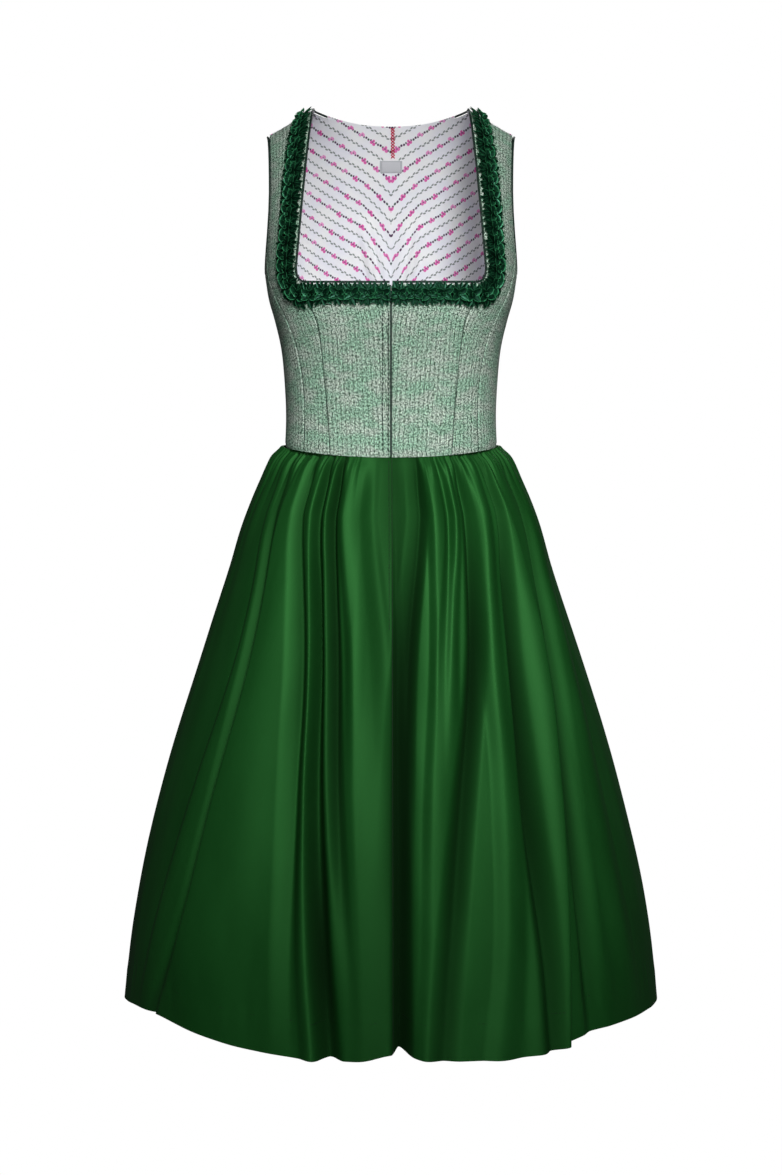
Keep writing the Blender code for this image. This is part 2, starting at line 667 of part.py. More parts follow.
def tube(name, points, radius, closed, collection, material):
    """A round cord along points in mm."""
    curve = bpy.data.curves.new(name, "CURVE")
    curve.dimensions = "3D"
    line = curve.splines.new("POLY")
    line.points.add(len(points) - 1)
    for knot, point in zip(line.points, points):
        knot.co = (*(point * MM), 1.0)
    line.use_cyclic_u = closed
    curve.bevel_depth = radius * MM
    curve.bevel_resolution = 1
    curve.use_fill_caps = True
    curve.materials.append(material)
    piece = bpy.data.objects.new(name, curve)
    collection.objects.link(piece)


def make_piping(collection, materials):
    aside = PIPING_RADIUS + 2 * SEAM_GAP
    armhole = beside_edge(*armhole_edge(), aside, -BODICE_WALL / 2)
    neck = beside_edge(*neck_edge(), aside, -BODICE_WALL / 2)
    for label, sign in SIDES:
        flip = np.array([sign, 1, 1])
        tube(f"armhole_piping_{label}", armhole * flip, PIPING_RADIUS, True,
             collection, materials["piping"])
        tube(f"neck_piping_{label}", neck * flip, PIPING_RADIUS, False,
             collection, materials["piping"])


def make_zip(collection, materials):
    layers = (
        # name, half width, depth behind the fronts' outer face, wall, rises
        ("zip_tape", ZIP_TAPE_HALF, BODICE_WALL + 2 * SEAM_GAP, ZIP_TAPE_WALL, RISES[:6]),
        ("zip_chain", ZIP_CHAIN_HALF, SEAM_GAP, ZIP_CHAIN_WALL, RISES[:6]),
        ("zip_slider", ZIP_CHAIN_HALF, -SEAM_GAP, ZIP_SLIDER_WALL, ZIP_SLIDER_RISES),
    )
    for name, half, depth, thickness, rises in layers:
        angle, rise = np.meshgrid(np.degrees(np.array((-half, 0.0, half)) / BUST_HALF),
                                  np.maximum(rises, ZIP_LOW))
        wall(name, grid_sheet(bodice(angle, rise, -depth)), thickness, collection, materials["zip"])


def make_label(collection, materials):
    depth = BODICE_WALL + LINING_GAP + LINING_WALL + LABEL_GAP
    width, height = LABEL_SIZE
    aside, level = np.meshgrid(np.linspace(-width / 2, width / 2, 5),
                               np.linspace(-height / 2, height / 2, 3) + LABEL_HEIGHT)
    angle = 180.0 - np.degrees(np.arcsin(aside / BUST_HALF))
    sides, tops = np.array(SHOULDER_LINE).T
    share = (level - UNDERARM) / (read(sides, tops, np.abs(aside)) - UNDERARM)
    form = grid_sheet(bodice(angle, np.degrees(np.arcsin(share)) / 90.0, -depth))
    bmesh.ops.reverse_faces(form, faces=form.faces[:])
    wall("label", form, LABEL_WALL, collection, materials["label"])


def main():
    for old in list(bpy.data.objects):
        bpy.data.objects.remove(old, do_unlink=True)
    collection = bpy.data.collections.new("dirndl_dress")
    bpy.context.scene.collection.children.link(collection)
    materials = {name: make_material(name) for name in FINISHES}
    make_bodice(collection, materials)
    make_lining(collection, materials)
    make_skirt(collection, materials)
    make_ruche(collection, materials)
    make_piping(collection, materials)
    make_zip(collection, materials)
    make_label(collection, materials)


main()
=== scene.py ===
"""Dirndl dress: the fine cloth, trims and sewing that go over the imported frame.

Laid out as an add-on. Each operator makes one group of pieces from the sizes and colours
in its settings, and the stage operator sets up the floor, the lights and the camera.
Lengths are in millimetres, which MM turns into metres, and angles are in degrees. Only
the stage is in metres.
"""
import math

import bpy
import numpy as np
from bpy.props import FloatProperty, FloatVectorProperty, IntProperty, PointerProperty
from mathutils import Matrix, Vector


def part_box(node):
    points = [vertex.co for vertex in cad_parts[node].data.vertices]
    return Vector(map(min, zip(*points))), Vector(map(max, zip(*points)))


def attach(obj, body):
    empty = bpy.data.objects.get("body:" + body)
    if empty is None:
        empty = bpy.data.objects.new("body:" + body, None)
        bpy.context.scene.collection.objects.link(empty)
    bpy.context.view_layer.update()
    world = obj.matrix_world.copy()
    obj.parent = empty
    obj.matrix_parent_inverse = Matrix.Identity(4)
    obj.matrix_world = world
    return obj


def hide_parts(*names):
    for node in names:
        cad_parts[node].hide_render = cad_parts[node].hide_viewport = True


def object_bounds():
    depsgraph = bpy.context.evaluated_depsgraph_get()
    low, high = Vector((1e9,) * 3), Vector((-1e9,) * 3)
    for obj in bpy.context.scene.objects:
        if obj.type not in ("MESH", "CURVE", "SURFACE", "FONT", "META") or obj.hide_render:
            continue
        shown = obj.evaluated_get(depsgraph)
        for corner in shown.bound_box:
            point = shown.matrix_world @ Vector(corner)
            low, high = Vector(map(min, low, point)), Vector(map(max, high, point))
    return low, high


bl_info = {
    "name": "Dirndl Dress",
    "version": (1, 0, 0),
    "blender": (4, 5, 0),
    "location": "View3D > Sidebar > Dirndl",
    "description": "Makes the cloth, trims and sewing of a dirndl dress over its frame",
    "category": "Object",
}

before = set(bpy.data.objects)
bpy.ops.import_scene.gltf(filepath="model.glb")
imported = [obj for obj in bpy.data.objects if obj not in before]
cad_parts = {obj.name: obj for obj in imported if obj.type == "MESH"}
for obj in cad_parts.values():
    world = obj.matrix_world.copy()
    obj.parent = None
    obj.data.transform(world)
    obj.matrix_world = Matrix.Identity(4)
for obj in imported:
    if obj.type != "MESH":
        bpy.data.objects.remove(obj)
FRAME_BOX = [list(corner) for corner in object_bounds()]

MM = 0.001
SEAM_GAP = 0.3            # clearance between pieces that touch
SIDES = (("left", 1), ("right", -1))

# ---------------------------------------------------------------- driving dimensions
WAIST_SIDE = -385.0       # height of the waist seam at the side
WAIST_DIP = 8.0           # how far the seam drops towards the centre front
UNDERARM = -190.0         # height of the lowest point of the armholes
SHOULDER_Y = 10.0         # the shoulder seam lies this far behind the origin
SECTION_POWER = 2.7       # body sections are flatter in front and behind than an ellipse

BODICE_WALL = 1.2
LINING_WALL = 1.0
LINING_GAP = 0.5
SKIRT_WALL = 1.0

BODICE_SECTIONS = (
    # height, half width, front depth, back depth
    (-400.0, 124.5, 101.0, 93.0),
    (-386.0, 123.5, 100.0, 92.0),
    (-340.0, 122.0, 100.0, 90.0),
    (-300.0, 124.0, 104.5, 93.0),
    (-270.0, 127.5, 111.0, 96.5),
    (-240.0, 134.0, 119.0, 101.0),
    (-215.0, 141.0, 123.0, 104.5),
    (-190.0, 145.0, 122.0, 106.0),
)
BUST_HALF = BODICE_SECTIONS[-1][1]
SHOULDER_LINE = (
    # distance from the middle, height that the column at that distance would reach
    (0.0, 144.0),
    (30.0, 113.0),
    (50.0, 72.0),
    (65.0, 40.0),
    (80.0, 13.0),
    (91.0, 1.5),
    (105.0, -8.5),
    (118.0, -15.5),
    (141.0, -28.5),
    (150.0, -33.0),
)

# Seams and edges of the bodice: angle from the centre front against `rise`, which is
# -1 at the waist, 0 at the underarm and 1 at the shoulder seam.
FRONT_PRINCESS = (
    # rise, angle
    (-1.00, 34.0),
    (-0.72, 36.7),
    (-0.42, 38.2),
    (-0.25, 38.8),
    (-0.145, 41.2),
    (-0.04, 42.5),
)
SIDE_FRONT_SEAM = (
    (-1.00, 54.0),
    (-0.50, 55.5),
    (-0.25, 61.5),
    (-0.08, 70.0),
    (0.12, 78.6),
)
SIDE_BACK_SEAM = (
    (-1.00, 125.0),
    (-0.50, 122.0),
    (-0.20, 113.0),
    (0.12, 101.4),
)
BACK_PRINCESS = (
    (-1.00, 157.0),
    (-0.50, 156.5),
    (0.00, 155.0),
    (0.40, 151.5),
    (0.70, 148.0),
)
NECK_FLOOR = -0.04        # rise of the straight bottom of the neckline
NECK_CORNER = 0.035       # rise where its rounded corner ends
NECK_SIDE_TOP = 38.9      # angle of the neckline at the shoulder seam
NECK_SIDE_SPREAD = 10.1   # further out at its foot
NECK_SIDE_BEND = 1.6
SIDE_FRONT_SPREAD = 0.75  # below 1, the side front's grid lines are closer at its outer edge
NECK_HALF = 91.0          # half width of the neck opening at the shoulder
BACK_NECK_DROP = 16.0     # the back neckline sags this far below the shoulder
BACK_NECK_BEND = 2.2      # 2 would be a parabola; more is flatter in the middle
ARMHOLE_HALF = 18.5       # widest half angle of the armhole
ARMHOLE_WIDEST = 0.41     # rise where it is widest
ARMHOLE_ROUND = 0.7
ARMHOLE_CLOSE = 5.0       # it narrows by this much towards the shoulder
ARMHOLE_CLOSE_BEND = 1.5
ARMHOLE_JOIN = 0.12       # rise where the side seams meet the armhole
BACK_JOIN = 0.7           # rise where the back princess seams meet the neckline

ZIP_HALF_GAP = 1.1        # the two fronts stand this far from the middle

SKIRT_LENGTH = 650.0
SKIRT_SECTIONS = (
    # drop below the waist seam, half width, front depth, back depth
    (-10.0, 123.0, 100.0, 92.0),
    (0.0, 124.0, 100.5, 92.5),
    (13.0, 135.0, 106.0, 102.0),
    (41.0, 151.0, 118.0, 118.0),
    (83.0, 170.0, 134.0, 136.0),
    (140.0, 188.0, 152.0, 154.0),
    (210.0, 211.0, 173.0, 174.0),
    (324.0, 248.0, 204.0, 203.0),
    (438.0, 280.0, 231.0, 228.0),
    (554.0, 304.0, 254.0, 250.0),
    (650.0, 315.0, 270.0, 264.0),
)
FLAT_LEFT = 13.0          # no gathers nearer the centre front than this, wearer's left
FLAT_RIGHT = 15.0         # and on the wearer's right
GATHERS = 20              # gathers on each side, flat zone to centre back
FRONT_GATHERS = 10        # of these, how many are in the front panel
FLAT_PITCHES = 2          # the flat zone counts as this many gathers in the grid
GATHER_WARP = 0.12        # how uneven their spacing is
GATHER_WARP_CYCLES = 7
GATHER_HEIGHT = 3.4
GATHER_UNEVEN = 0.25      # share by which their heights differ
GATHER_START = 0.3        # share of the height at the waist seam itself
GATHER_RISE = 12.0        # drop over which they grow to their full height
GATHER_REACH = (58.0, 24.0)   # drop over which they die out, and how much that varies

FOLD_DROPS = (65.0, 200.0, 372.0, 560.0, 650.0)   # where the fold tables are given
SKIRT_FOLDS = (
    # across: place over the front's width, 0 right side, 1 left side, at FOLD_DROPS;
    # out: height in mm at the same drops; then half widths either side in degrees, and
    # how far the crest leans over towards the left, in mm
    # name, across x5, out x5, width before, width after, lean
    ("side edge", (.080, .110, .090, .060, .045), (2, 3, 4, 3, 0), 3.0, 6.0, -3),
    ("first hollow", (.100, .130, .125, .095, .060), (-3, -5, -6, -4, 0), 3.0, 3.0, 0),
    ("first flute", (.130, .160, .150, .120, .090), (6, 13, 17, 13, 6), 3.0, 20.0, -3),
    ("second hollow", (.190, .260, .295, .315, .325), (-6, -7, -7, -4, -1), 5.0, 2.6, 0),
    ("narrow ridge", (.225, .285, .315, .345, .360), (5, 7, 8, 8, 7), 2.6, 2.2, 2),
    ("black hollow", (.245, .298, .334, .370, .388), (-7, -10, -13, -13, -10), 2.2, 3.6, 0),
    ("middle ridge", (.280, .327, .364, .410, .430), (5, 6, 5, 1, 0), 2.8, 2.8, 0),
    ("inner hollow", (.300, .350, .385, .420, .440), (-7, -8, -6, -1, 0), 2.6, 2.4, 0),
    ("front flute", (.340, .400, .425, .450, .455), (7, 8, 6, 3, 2), 3.4, 11.0, 0),
    ("front dip", (.424, .473, .500, .500, .500), (-3, -3, 0, 0, 0), 4.0, 4.0, 0),
    ("centre flat", (.510, .510, .500, .500, .500), (-8, -12, -3, 0, 0), 13.0, 12.0, 0),
    ("seam hollow", (.514, .514, .514, .514, .514), (0, -3, -12, -16, -17), 1.5, 3.2, 0),
    ("underlap", (.608, .556, .530, .520, .520), (-9, -12, -5, 0, 0), 6.5, 2.6, 0),
    ("left flute", (.645, .625, .590, .575, .565), (6, 7, 5, 4, 3), 2.8, 7.0, 0),
    ("left dip", (.700, .640, .600, .600, .600), (-5, -2, 0, 0, 0), 2.4, 2.4, 0),
    ("left ridge", (.722, .665, .630, .620, .620), (4, 4, 0, 0, 0), 2.6, 2.6, 0),
    ("left hollow", (.770, .730, .657, .606, .592), (-8, -10, -8, -5, -4), 4.2, 3.6, 0),
    ("second flute", (.815, .768, .740, .712, .690), (6, 8, 7, 6, 5), 4.0, 5.0, 0),
    ("hooked hollow", (.873, .827, .790, .779, .777), (-8, -10, -10, -6, -4), 2.6, 3.0, 0),
    ("last flute", (.895, .880, .838, .806, .798), (8, 14, 17, 17, 15), 9.0, 2.6, 6),
    ("last hollow", (.959, .929, .881, .860, .858), (-5, -7, -9, -8, -3), 2.6, 6.0, 0),
    ("side ridge", (.984, .961, .933, .931, .942), (3, 4, 5, 4, 0), 6.0, 6.0, 0),
)
FRONT_ONLY = ("centre flat", "seam hollow", "underlap", "front dip")
FOLD_START = 60.0         # the folds grow to their full height over this drop
LEAN_START = 200.0        # and lean over only below this
BACK_SCALE = 0.9          # the back's folds are the front's, turned round and a little lower
BACK_LEAN = 0.65          # share of the front's lean that they keep
BACK_DRIFT = 4.0          # and out of step with them by up to this angle

SEAM_TURN = 0.3           # the front seam lies this far to the left of the middle
SEAM_LIFT = 2.0           # the right front laps onto it, this proud of the left front
HEM_RISES = (
    # angle towards the left, how much shorter the skirt hangs there
    (-180.0, 0.0),
    (-100.0, 0.0),
    (-86.0, 1.0),
    (-78.0, 6.0),
    (-70.0, 11.0),
    (-62.0, 14.0),
    (-55.0, 17.5),
    (-49.0, 14.0),
    (-42.0, 8.0),
    (-36.0, 4.0),
    (-27.0, 1.0),
    (-13.0, -2.0),
    (0.0, 0.0),
    (14.0, -2.5),
    (27.0, -5.0),
    (34.0, -3.0),
    (39.0, 2.0),
    (45.0, 7.0),
    (51.0, 8.0),
    (62.0, 6.5),
    (74.0, 4.0),
    (86.0, 0.0),
    (180.0, 0.0),
)
HEM_NOTCH = 7.0           # the centre seam pulls the hem up
HEM_NOTCH_SPREAD = 4.0    # this far on each side of it, in degrees

RUCHE_PITCH = 16.7        # distance between pinched pleats
RUCHE_HALF = 12.6         # half width of the ruche
RUCHE_END_RISES = (1.035, 1.07)   # it runs just over the shoulder seam
RUCHE_INSET = 13.4        # from the neck edge to the ruche's middle line
RUCHE_LIFT = 0.8          # its lowest folds clear the bodice by this
RUCHE_MIDDLE_GAP = 0.1    # the two halves stay this far from the middle
RUCHE_WIDENS = (70.0, 110.0)   # it widens between these two places round the neck's corner

PIPING_RADIUS = 1.3
ZIP_TAPE_HALF = 9.0       # half width of the tape
ZIP_TAPE_WALL = 0.6
ZIP_CHAIN_WALL = 1.2
ZIP_LOW = -0.985          # rise where the tape stops, just above the waist seam
ZIP_HIGH = -0.12          # and where it starts, below the neck edge
LABEL_SIZE = (27.0, 14.0)
LABEL_RIB = 0.35          # distance between its cross ribs
LABEL_HEIGHT = -59.0      # height of its middle
LABEL_WALL = 0.4
LABEL_GAP = 0.9           # it stands off the lining by this,
LABEL_SINK = 0.6          # less this at its ends, where it is sewn
LABEL_HELD = 3.0          # the width of each sewn end
LABEL_BELLY = 0.7         # and its middle bulges by this


# ------------------------------------------------------------------ reading the tables
def read(places, values, at):
    """Value at a place between a table's rows, with no kink at the rows."""
    places = np.asarray(places, float)
    values = np.asarray(values, float)
    slopes = np.gradient(values, places)
    low = np.clip(np.searchsorted(places, at) - 1, 0, len(places) - 2)
    span = places[low + 1] - places[low]
    part = np.clip((at - places[low]) / span, 0.0, 1.0)
    rest = 1.0 - part
    return (values[low] * (1 + 2 * part) * rest ** 2 + values[low + 1] * (3 - 2 * part) * part ** 2
            + span * part * rest * (slopes[low] * rest - slopes[low + 1] * part))


def seam(table, rise):
    places, angles = np.array(table).T
    return read(places, angles, rise)


def normals(across, along):
    """Unit normals from two sets of tangents."""
    cross = np.cross(across, along)
    return cross / np.linalg.norm(cross, axis=-1, keepdims=True)


# --------------------------------------------------------------------- bodice surface
def half_width(rise):
    """Half width of the bodice at a rise below the underarm, in mm."""
    return read(*np.array(BODICE_SECTIONS).T[:2], UNDERARM + rise * (UNDERARM - WAIST_SIDE))


def waist_height(angle):
    front = np.maximum(np.cos(np.radians(angle)), 0.0)
    return WAIST_SIDE - WAIST_DIP * front ** 2


def bodice_point(angle, rise):
    """A point of the bodice's outer face, in mm."""
    angle, rise = np.broadcast_arrays(np.asarray(angle, float), np.asarray(rise, float))
    heights, widths, fronts, backs = np.array(BODICE_SECTIONS).T
    low = np.minimum(rise, 0.0)
    high = np.maximum(rise, 0.0)
    z = UNDERARM + low * (UNDERARM - waist_height(angle))
    sine = np.sin(np.radians(angle))
    facing_front = np.cos(np.radians(angle)) > 0
    depth = np.where(facing_front, -read(heights, fronts, z), read(heights, backs, z))
    y = depth * (1.0 - np.abs(sine) ** SECTION_POWER).clip(0.0) ** (1.0 / SECTION_POWER)
    x = read(heights, widths, z) * sine
    sides, tops = np.array(SHOULDER_LINE).T
    turn = np.radians(90.0 * high)
    y = np.where(rise > 0, SHOULDER_Y + (y - SHOULDER_Y) * np.cos(turn), y)
    z = z + (read(sides, tops, np.abs(x)) - UNDERARM) * np.sin(turn)
    return np.stack([x, y, z], axis=-1)


def bodice_tangents(angle, rise):
    step_angle, step_rise = 0.2, 0.002
    across = bodice_point(angle + step_angle, rise) - bodice_point(angle - step_angle, rise)
    along = bodice_point(angle, rise + step_rise) - bodice_point(angle, rise - step_rise)
    return across / (2 * step_angle), along / (2 * step_rise)


def bodice(angle, rise, out=0.0):
    """The bodice surface, moved out along its normal."""
    angle, rise, out = np.broadcast_arrays(angle, rise, out)
    return bodice_point(angle, rise) + out[..., None] * normals(*bodice_tangents(angle, rise))


def back_place(aside, height):
    """Angle and rise of a place on the back, given its distance from the middle and height."""
    sides, tops = np.array(SHOULDER_LINE).T
    share = (height - UNDERARM) / (read(sides, tops, np.abs(aside)) - UNDERARM)
    return 180.0 - np.degrees(np.arcsin(aside / BUST_HALF)), np.degrees(np.arcsin(share)) / 90.0


def neck_side(rise):
    return NECK_SIDE_TOP + NECK_SIDE_SPREAD * (1.0 - np.minimum(rise, 1.0)) ** NECK_SIDE_BEND


def armhole_half(rise):
    """Half angle of the armhole about the side, at a rise from 0 to 1."""
    foot = np.clip(rise / ARMHOLE_WIDEST, 0.0, 1.0)
    head = np.clip((rise - ARMHOLE_WIDEST) / (1.0 - ARMHOLE_WIDEST), 0.0, 1.0)
    opened = ARMHOLE_HALF * np.sin(math.pi / 2 * foot ** ARMHOLE_ROUND)
    return opened - ARMHOLE_CLOSE * head ** ARMHOLE_CLOSE_BEND


def armhole_floor(angle):
    """Rise of the armhole's lower curve at an angle near the side."""
    share = np.clip(np.abs(angle - 90.0) / ARMHOLE_HALF, 0.0, 1.0)
    return ARMHOLE_WIDEST * (np.arcsin(share) * 2 / math.pi) ** (1 / ARMHOLE_ROUND)


def back_neck(angle):
    """Rise of the back neckline; 1 where the panel reaches the shoulder seam instead."""
    sides, tops = np.array(SHOULDER_LINE).T
    aside = BUST_HALF * np.abs(np.sin(np.radians(angle)))
    edge = -BACK_NECK_DROP * (1.0 - np.minimum(aside / NECK_HALF, 1.0) ** BACK_NECK_BEND)
    share = (edge - UNDERARM) / (read(sides, tops, aside) - UNDERARM)
    return np.where(aside < NECK_HALF, np.arcsin(np.clip(share, 0.0, 1.0)) * 2 / math.pi, 1.0)


def side_front_inner_edge(rise):
    """Inner edge of the side front: princess seam, rounded neck corner, neck edge."""
    share = np.clip((rise - NECK_FLOOR) / (NECK_CORNER - NECK_FLOOR), 0.0, 1.0)
    foot = seam(FRONT_PRINCESS, np.minimum(rise, NECK_FLOOR))
    corner = foot + (neck_side(NECK_CORNER) - foot) * np.sqrt(1.0 - (1.0 - share) ** 2)
    return np.where(rise <= NECK_CORNER, corner, neck_side(rise))


def side_front_outer_edge(rise):
    return np.where(rise < ARMHOLE_JOIN, seam(SIDE_FRONT_SEAM, np.minimum(rise, ARMHOLE_JOIN)),
                    90.0 - armhole_half(rise))


def side_back_outer_edge(rise):
    return np.where(rise < ARMHOLE_JOIN, seam(SIDE_BACK_SEAM, np.minimum(rise, ARMHOLE_JOIN)),
                    90.0 + armhole_half(rise))


def side_back_inner_edge(rise):
    """Inner edge of the side back: princess seam, then the neckline up to the shoulder."""
    shoulder = 180.0 - math.degrees(math.asin(NECK_HALF / BUST_HALF))
    angles = np.linspace(BACK_PRINCESS[-1][1], shoulder, 40)
    neck = np.interp(rise, back_neck(angles), angles)
    return np.where(rise < BACK_JOIN, seam(BACK_PRINCESS, np.minimum(rise, BACK_JOIN)), neck)


# Each bodice panel maps (share across, rise at its seams) to (angle, rise).
def centre_front(across, rise):
    inner = np.degrees(np.arcsin(ZIP_HALF_GAP / half_width(rise)))
    return inner + (seam(FRONT_PRINCESS, rise) - inner) * across, rise


def side_front(across, rise):
    inner = side_front_inner_edge(rise)
    return inner + (side_front_outer_edge(rise) - inner) * across ** SIDE_FRONT_SPREAD, rise


def side(across, rise):
    front = seam(SIDE_FRONT_SEAM, rise)
    top = 90.0 - armhole_half(ARMHOLE_JOIN) * (1.0 - 2.0 * across)
    stretch = (1.0 + armhole_floor(top)) / (1.0 + ARMHOLE_JOIN)
    return front + (seam(SIDE_BACK_SEAM, rise) - front) * across, -1.0 + (1.0 + rise) * stretch


def side_back(across, rise):
    outer = side_back_outer_edge(rise)
    return outer + (side_back_inner_edge(rise) - outer) * across, rise


def centre_back(across, rise):
    first = BACK_PRINCESS[-1][1]
    princess = seam(BACK_PRINCESS, rise)
    stretch = (1.0 + back_neck(first + (180.0 - first) * across)) / (1.0 + BACK_JOIN)
    return princess + (180.0 - princess) * across, -1.0 + (1.0 + rise) * stretch


RISES = (-1.0, -0.8, -0.6, -0.42, -0.26, -0.12, NECK_FLOOR, -0.036, -0.024, 0.0, NECK_CORNER,
         0.075, ARMHOLE_JOIN, 0.2, 0.3, 0.4, 0.5, 0.6, BACK_JOIN, 0.8, 0.9, 1.0)
BODICE_PANELS = (
    # name, map, rise where it ends
    ("centre_front", centre_front, NECK_FLOOR),
    ("side_front", side_front, 1.0),
    ("side", side, ARMHOLE_JOIN),
    ("side_back", side_back, 1.0),
    ("centre_back", centre_back, BACK_JOIN),
)


# ---------------------------------------------------------------------- skirt surface
def side_flat(side_sign):
    return FLAT_LEFT if side_sign > 0 else FLAT_RIGHT


def gather_angle(side_sign, pitch):
    """Angle from the centre front of a place counted in gathers; the flat zone is below 0."""
    flat = side_flat(side_sign)
    warped = pitch + GATHER_WARP * np.sin(2 * math.pi * GATHER_WARP_CYCLES * pitch / GATHERS)
    gathered = flat + (180.0 - flat) * warped / GATHERS
    return np.where(pitch < 0, flat * (1.0 + pitch / FLAT_PITCHES), gathered)


def gather_lift(side_sign, pitch, drop):
    """Rounded gathers with sharp creases between, each dying out at its own drop."""
    index = np.floor(pitch)
    mean_reach, vary = GATHER_REACH
    reach = mean_reach + vary * np.sin(index * 2.3 + side_sign)
    start = np.minimum(1.0, GATHER_START + drop / GATHER_RISE)
    height = GATHER_HEIGHT * (1.0 + GATHER_UNEVEN * np.sin(index * 1.7)) * start
    height = height * np.exp(-(drop / reach) ** 2)
    crest = np.abs(np.sin(math.pi * pitch))
    return np.where(pitch > 0, crest * height, 0.0)


def bump(offset, before, after):
    """1 at a fold's crest and 0 beyond its two half widths."""
    share = np.where(offset < 0, offset / before, offset / after)
    return (1.0 - np.minimum(np.abs(share), 1.0) ** 2) ** 2


def fold_offsets(angle, drop):
    """How far the folds lift the cloth outwards, and how far they drag it along, in mm."""
    lift = np.zeros(np.broadcast(angle, drop).shape)
    drag = np.zeros_like(lift)
    started = np.sin(0.5 * math.pi * np.clip(drop / FOLD_START, 0.0, 1.0))
    for number, (name, across, out, before, after, lean) in enumerate(SKIRT_FOLDS):
        centre = np.degrees(np.arcsin(2.0 * read(FOLD_DROPS, across, drop) - 1.0))
        height = read(FOLD_DROPS, out, drop) * started
        copies = [(0.0, 1.0, 1.0)]
        if name not in FRONT_ONLY:
            copies.append((180.0 + BACK_DRIFT * math.sin(3.0 * number), BACK_SCALE, BACK_LEAN))
        for turn, scale, lean_share in copies:
            offset = (angle - centre - turn + 180.0) % 360.0 - 180.0
            share = bump(offset, before, after)
            lift = lift + share * height * scale
            drag = drag + share * lean * lean_share * np.clip(drop / LEAN_START, 0.0, 1.0)
    return lift, drag


def skirt(side_sign, pitch, drop, out=0.0):
    """A point of the skirt's outer face, in mm, `drop` below the waist seam."""
    pitch, drop = np.broadcast_arrays(np.asarray(pitch, float), np.asarray(drop, float))
    angle = side_sign * gather_angle(side_sign, pitch)
    lap = np.clip(1.0 - (pitch + FLAT_PITCHES), 0.0, 1.0)
    turned = angle + SEAM_TURN * lap
    drops, widths, fronts, backs = np.array(SKIRT_SECTIONS).T
    half = read(drops, widths, drop)
    lift, drag = fold_offsets(turned, drop)
    turned = turned + np.degrees(drag / half)
    lift = lift + gather_lift(side_sign, pitch, drop) + out
    lift = lift + (SEAM_LIFT * lap if side_sign < 0 else 0.0)
    sine = np.sin(np.radians(turned))
    cosine = np.cos(np.radians(turned))
    depth = np.where(cosine > 0, read(drops, fronts, drop), read(drops, backs, drop))
    outward = np.stack([sine / half, -cosine / depth], axis=-1)
    outward = outward / np.linalg.norm(outward, axis=-1, keepdims=True)
    rise = seam(HEM_RISES, angle) + HEM_NOTCH * np.exp(-(turned / HEM_NOTCH_SPREAD) ** 2)
    rise = rise * (drop / SKIRT_LENGTH) ** 4
    return np.stack([half * sine + lift * outward[..., 0],
                     -depth * cosine + lift * outward[..., 1],
                     waist_height(angle) - SEAM_GAP - drop + rise], axis=-1)


# -------------------------------------------------------------------------- edge paths
def front_neck_edge(last_rise):
    """The left half of the front neckline as (angle, rise) points, from the zip up."""
    rises = np.array(RISES + RUCHE_END_RISES)
    climb = rises[(rises >= NECK_FLOOR) & (rises <= last_rise)]
    floor = np.linspace(0.6, FRONT_PRINCESS[-1][1], 6)[:-1]
    angle = np.concatenate([floor, side_front_inner_edge(climb)])
    return angle, np.concatenate([np.full(len(floor), NECK_FLOOR), climb])


def neck_edge():
    """The left half of the whole neckline, centre front to centre back."""
    front_angle, front_rise = front_neck_edge(1.0)
    rises = np.array(RISES)
    descent = rises[(rises >= BACK_JOIN) & (rises < 1.0)][::-1]
    back = np.linspace(BACK_PRINCESS[-1][1], 179.6, 6)[1:]
    return (np.concatenate([front_angle, side_back_inner_edge(descent), back]),
            np.concatenate([front_rise, descent, back_neck(back)]))


def armhole_edge():
    """The left armhole as (angle, rise) points, down its front and up its back."""
    climb = np.array([rise for rise in RISES if rise > ARMHOLE_JOIN])
    half = armhole_half(ARMHOLE_JOIN)
    floor = np.linspace(90.0 - half, 90.0 + half, 8)
    opened = armhole_half(climb)
    angle = np.concatenate([90.0 - opened[::-1], floor, 90.0 + opened[:-1]])
    return angle, np.concatenate([climb[::-1], armhole_floor(floor), climb[:-1]])


def beside_edge(angle, rise, aside, out):
    """Points of the bodice `aside` mm to the left of a path on it and `out` mm off it."""
    path = bodice_point(angle, rise)
    course = np.diff(path, axis=0)
    course = course / np.linalg.norm(course, axis=-1, keepdims=True)
    course = np.concatenate([course[:1], course[1:] + course[:-1], course[-1:]])
    across, along = bodice_tangents(angle, rise)
    face = normals(across, along)
    sideways = np.cross(face, course)
    sideways = sideways / np.linalg.norm(sideways, axis=-1, keepdims=True)
    moves = []
    for tangent_a, tangent_r, step in zip(across, along, sideways):
        moves.append(np.linalg.lstsq(np.stack([tangent_a, tangent_r], axis=1), step, rcond=None)[0])
    moves = np.array(moves) * np.broadcast_to(aside, angle.shape)[:, None]
    return bodice(angle + moves[:, 0], rise + moves[:, 1], out)


def spaced(points, spacing):
    """Where to read a path so that its points are `spacing` mm apart, as shares of its index."""
    lengths = np.concatenate([[0.0], np.cumsum(np.linalg.norm(np.diff(points, axis=0), axis=1))])
    count = max(2, round(lengths[-1] / spacing) + 1)
    return np.interp(np.linspace(0.0, lengths[-1], count), lengths, np.arange(len(points)))


def resample(values, places):
    index = np.arange(len(values))
    if values.ndim == 1:
        return np.interp(places, index, values)
    return np.stack([np.interp(places, index, column) for column in values.T], axis=-1)


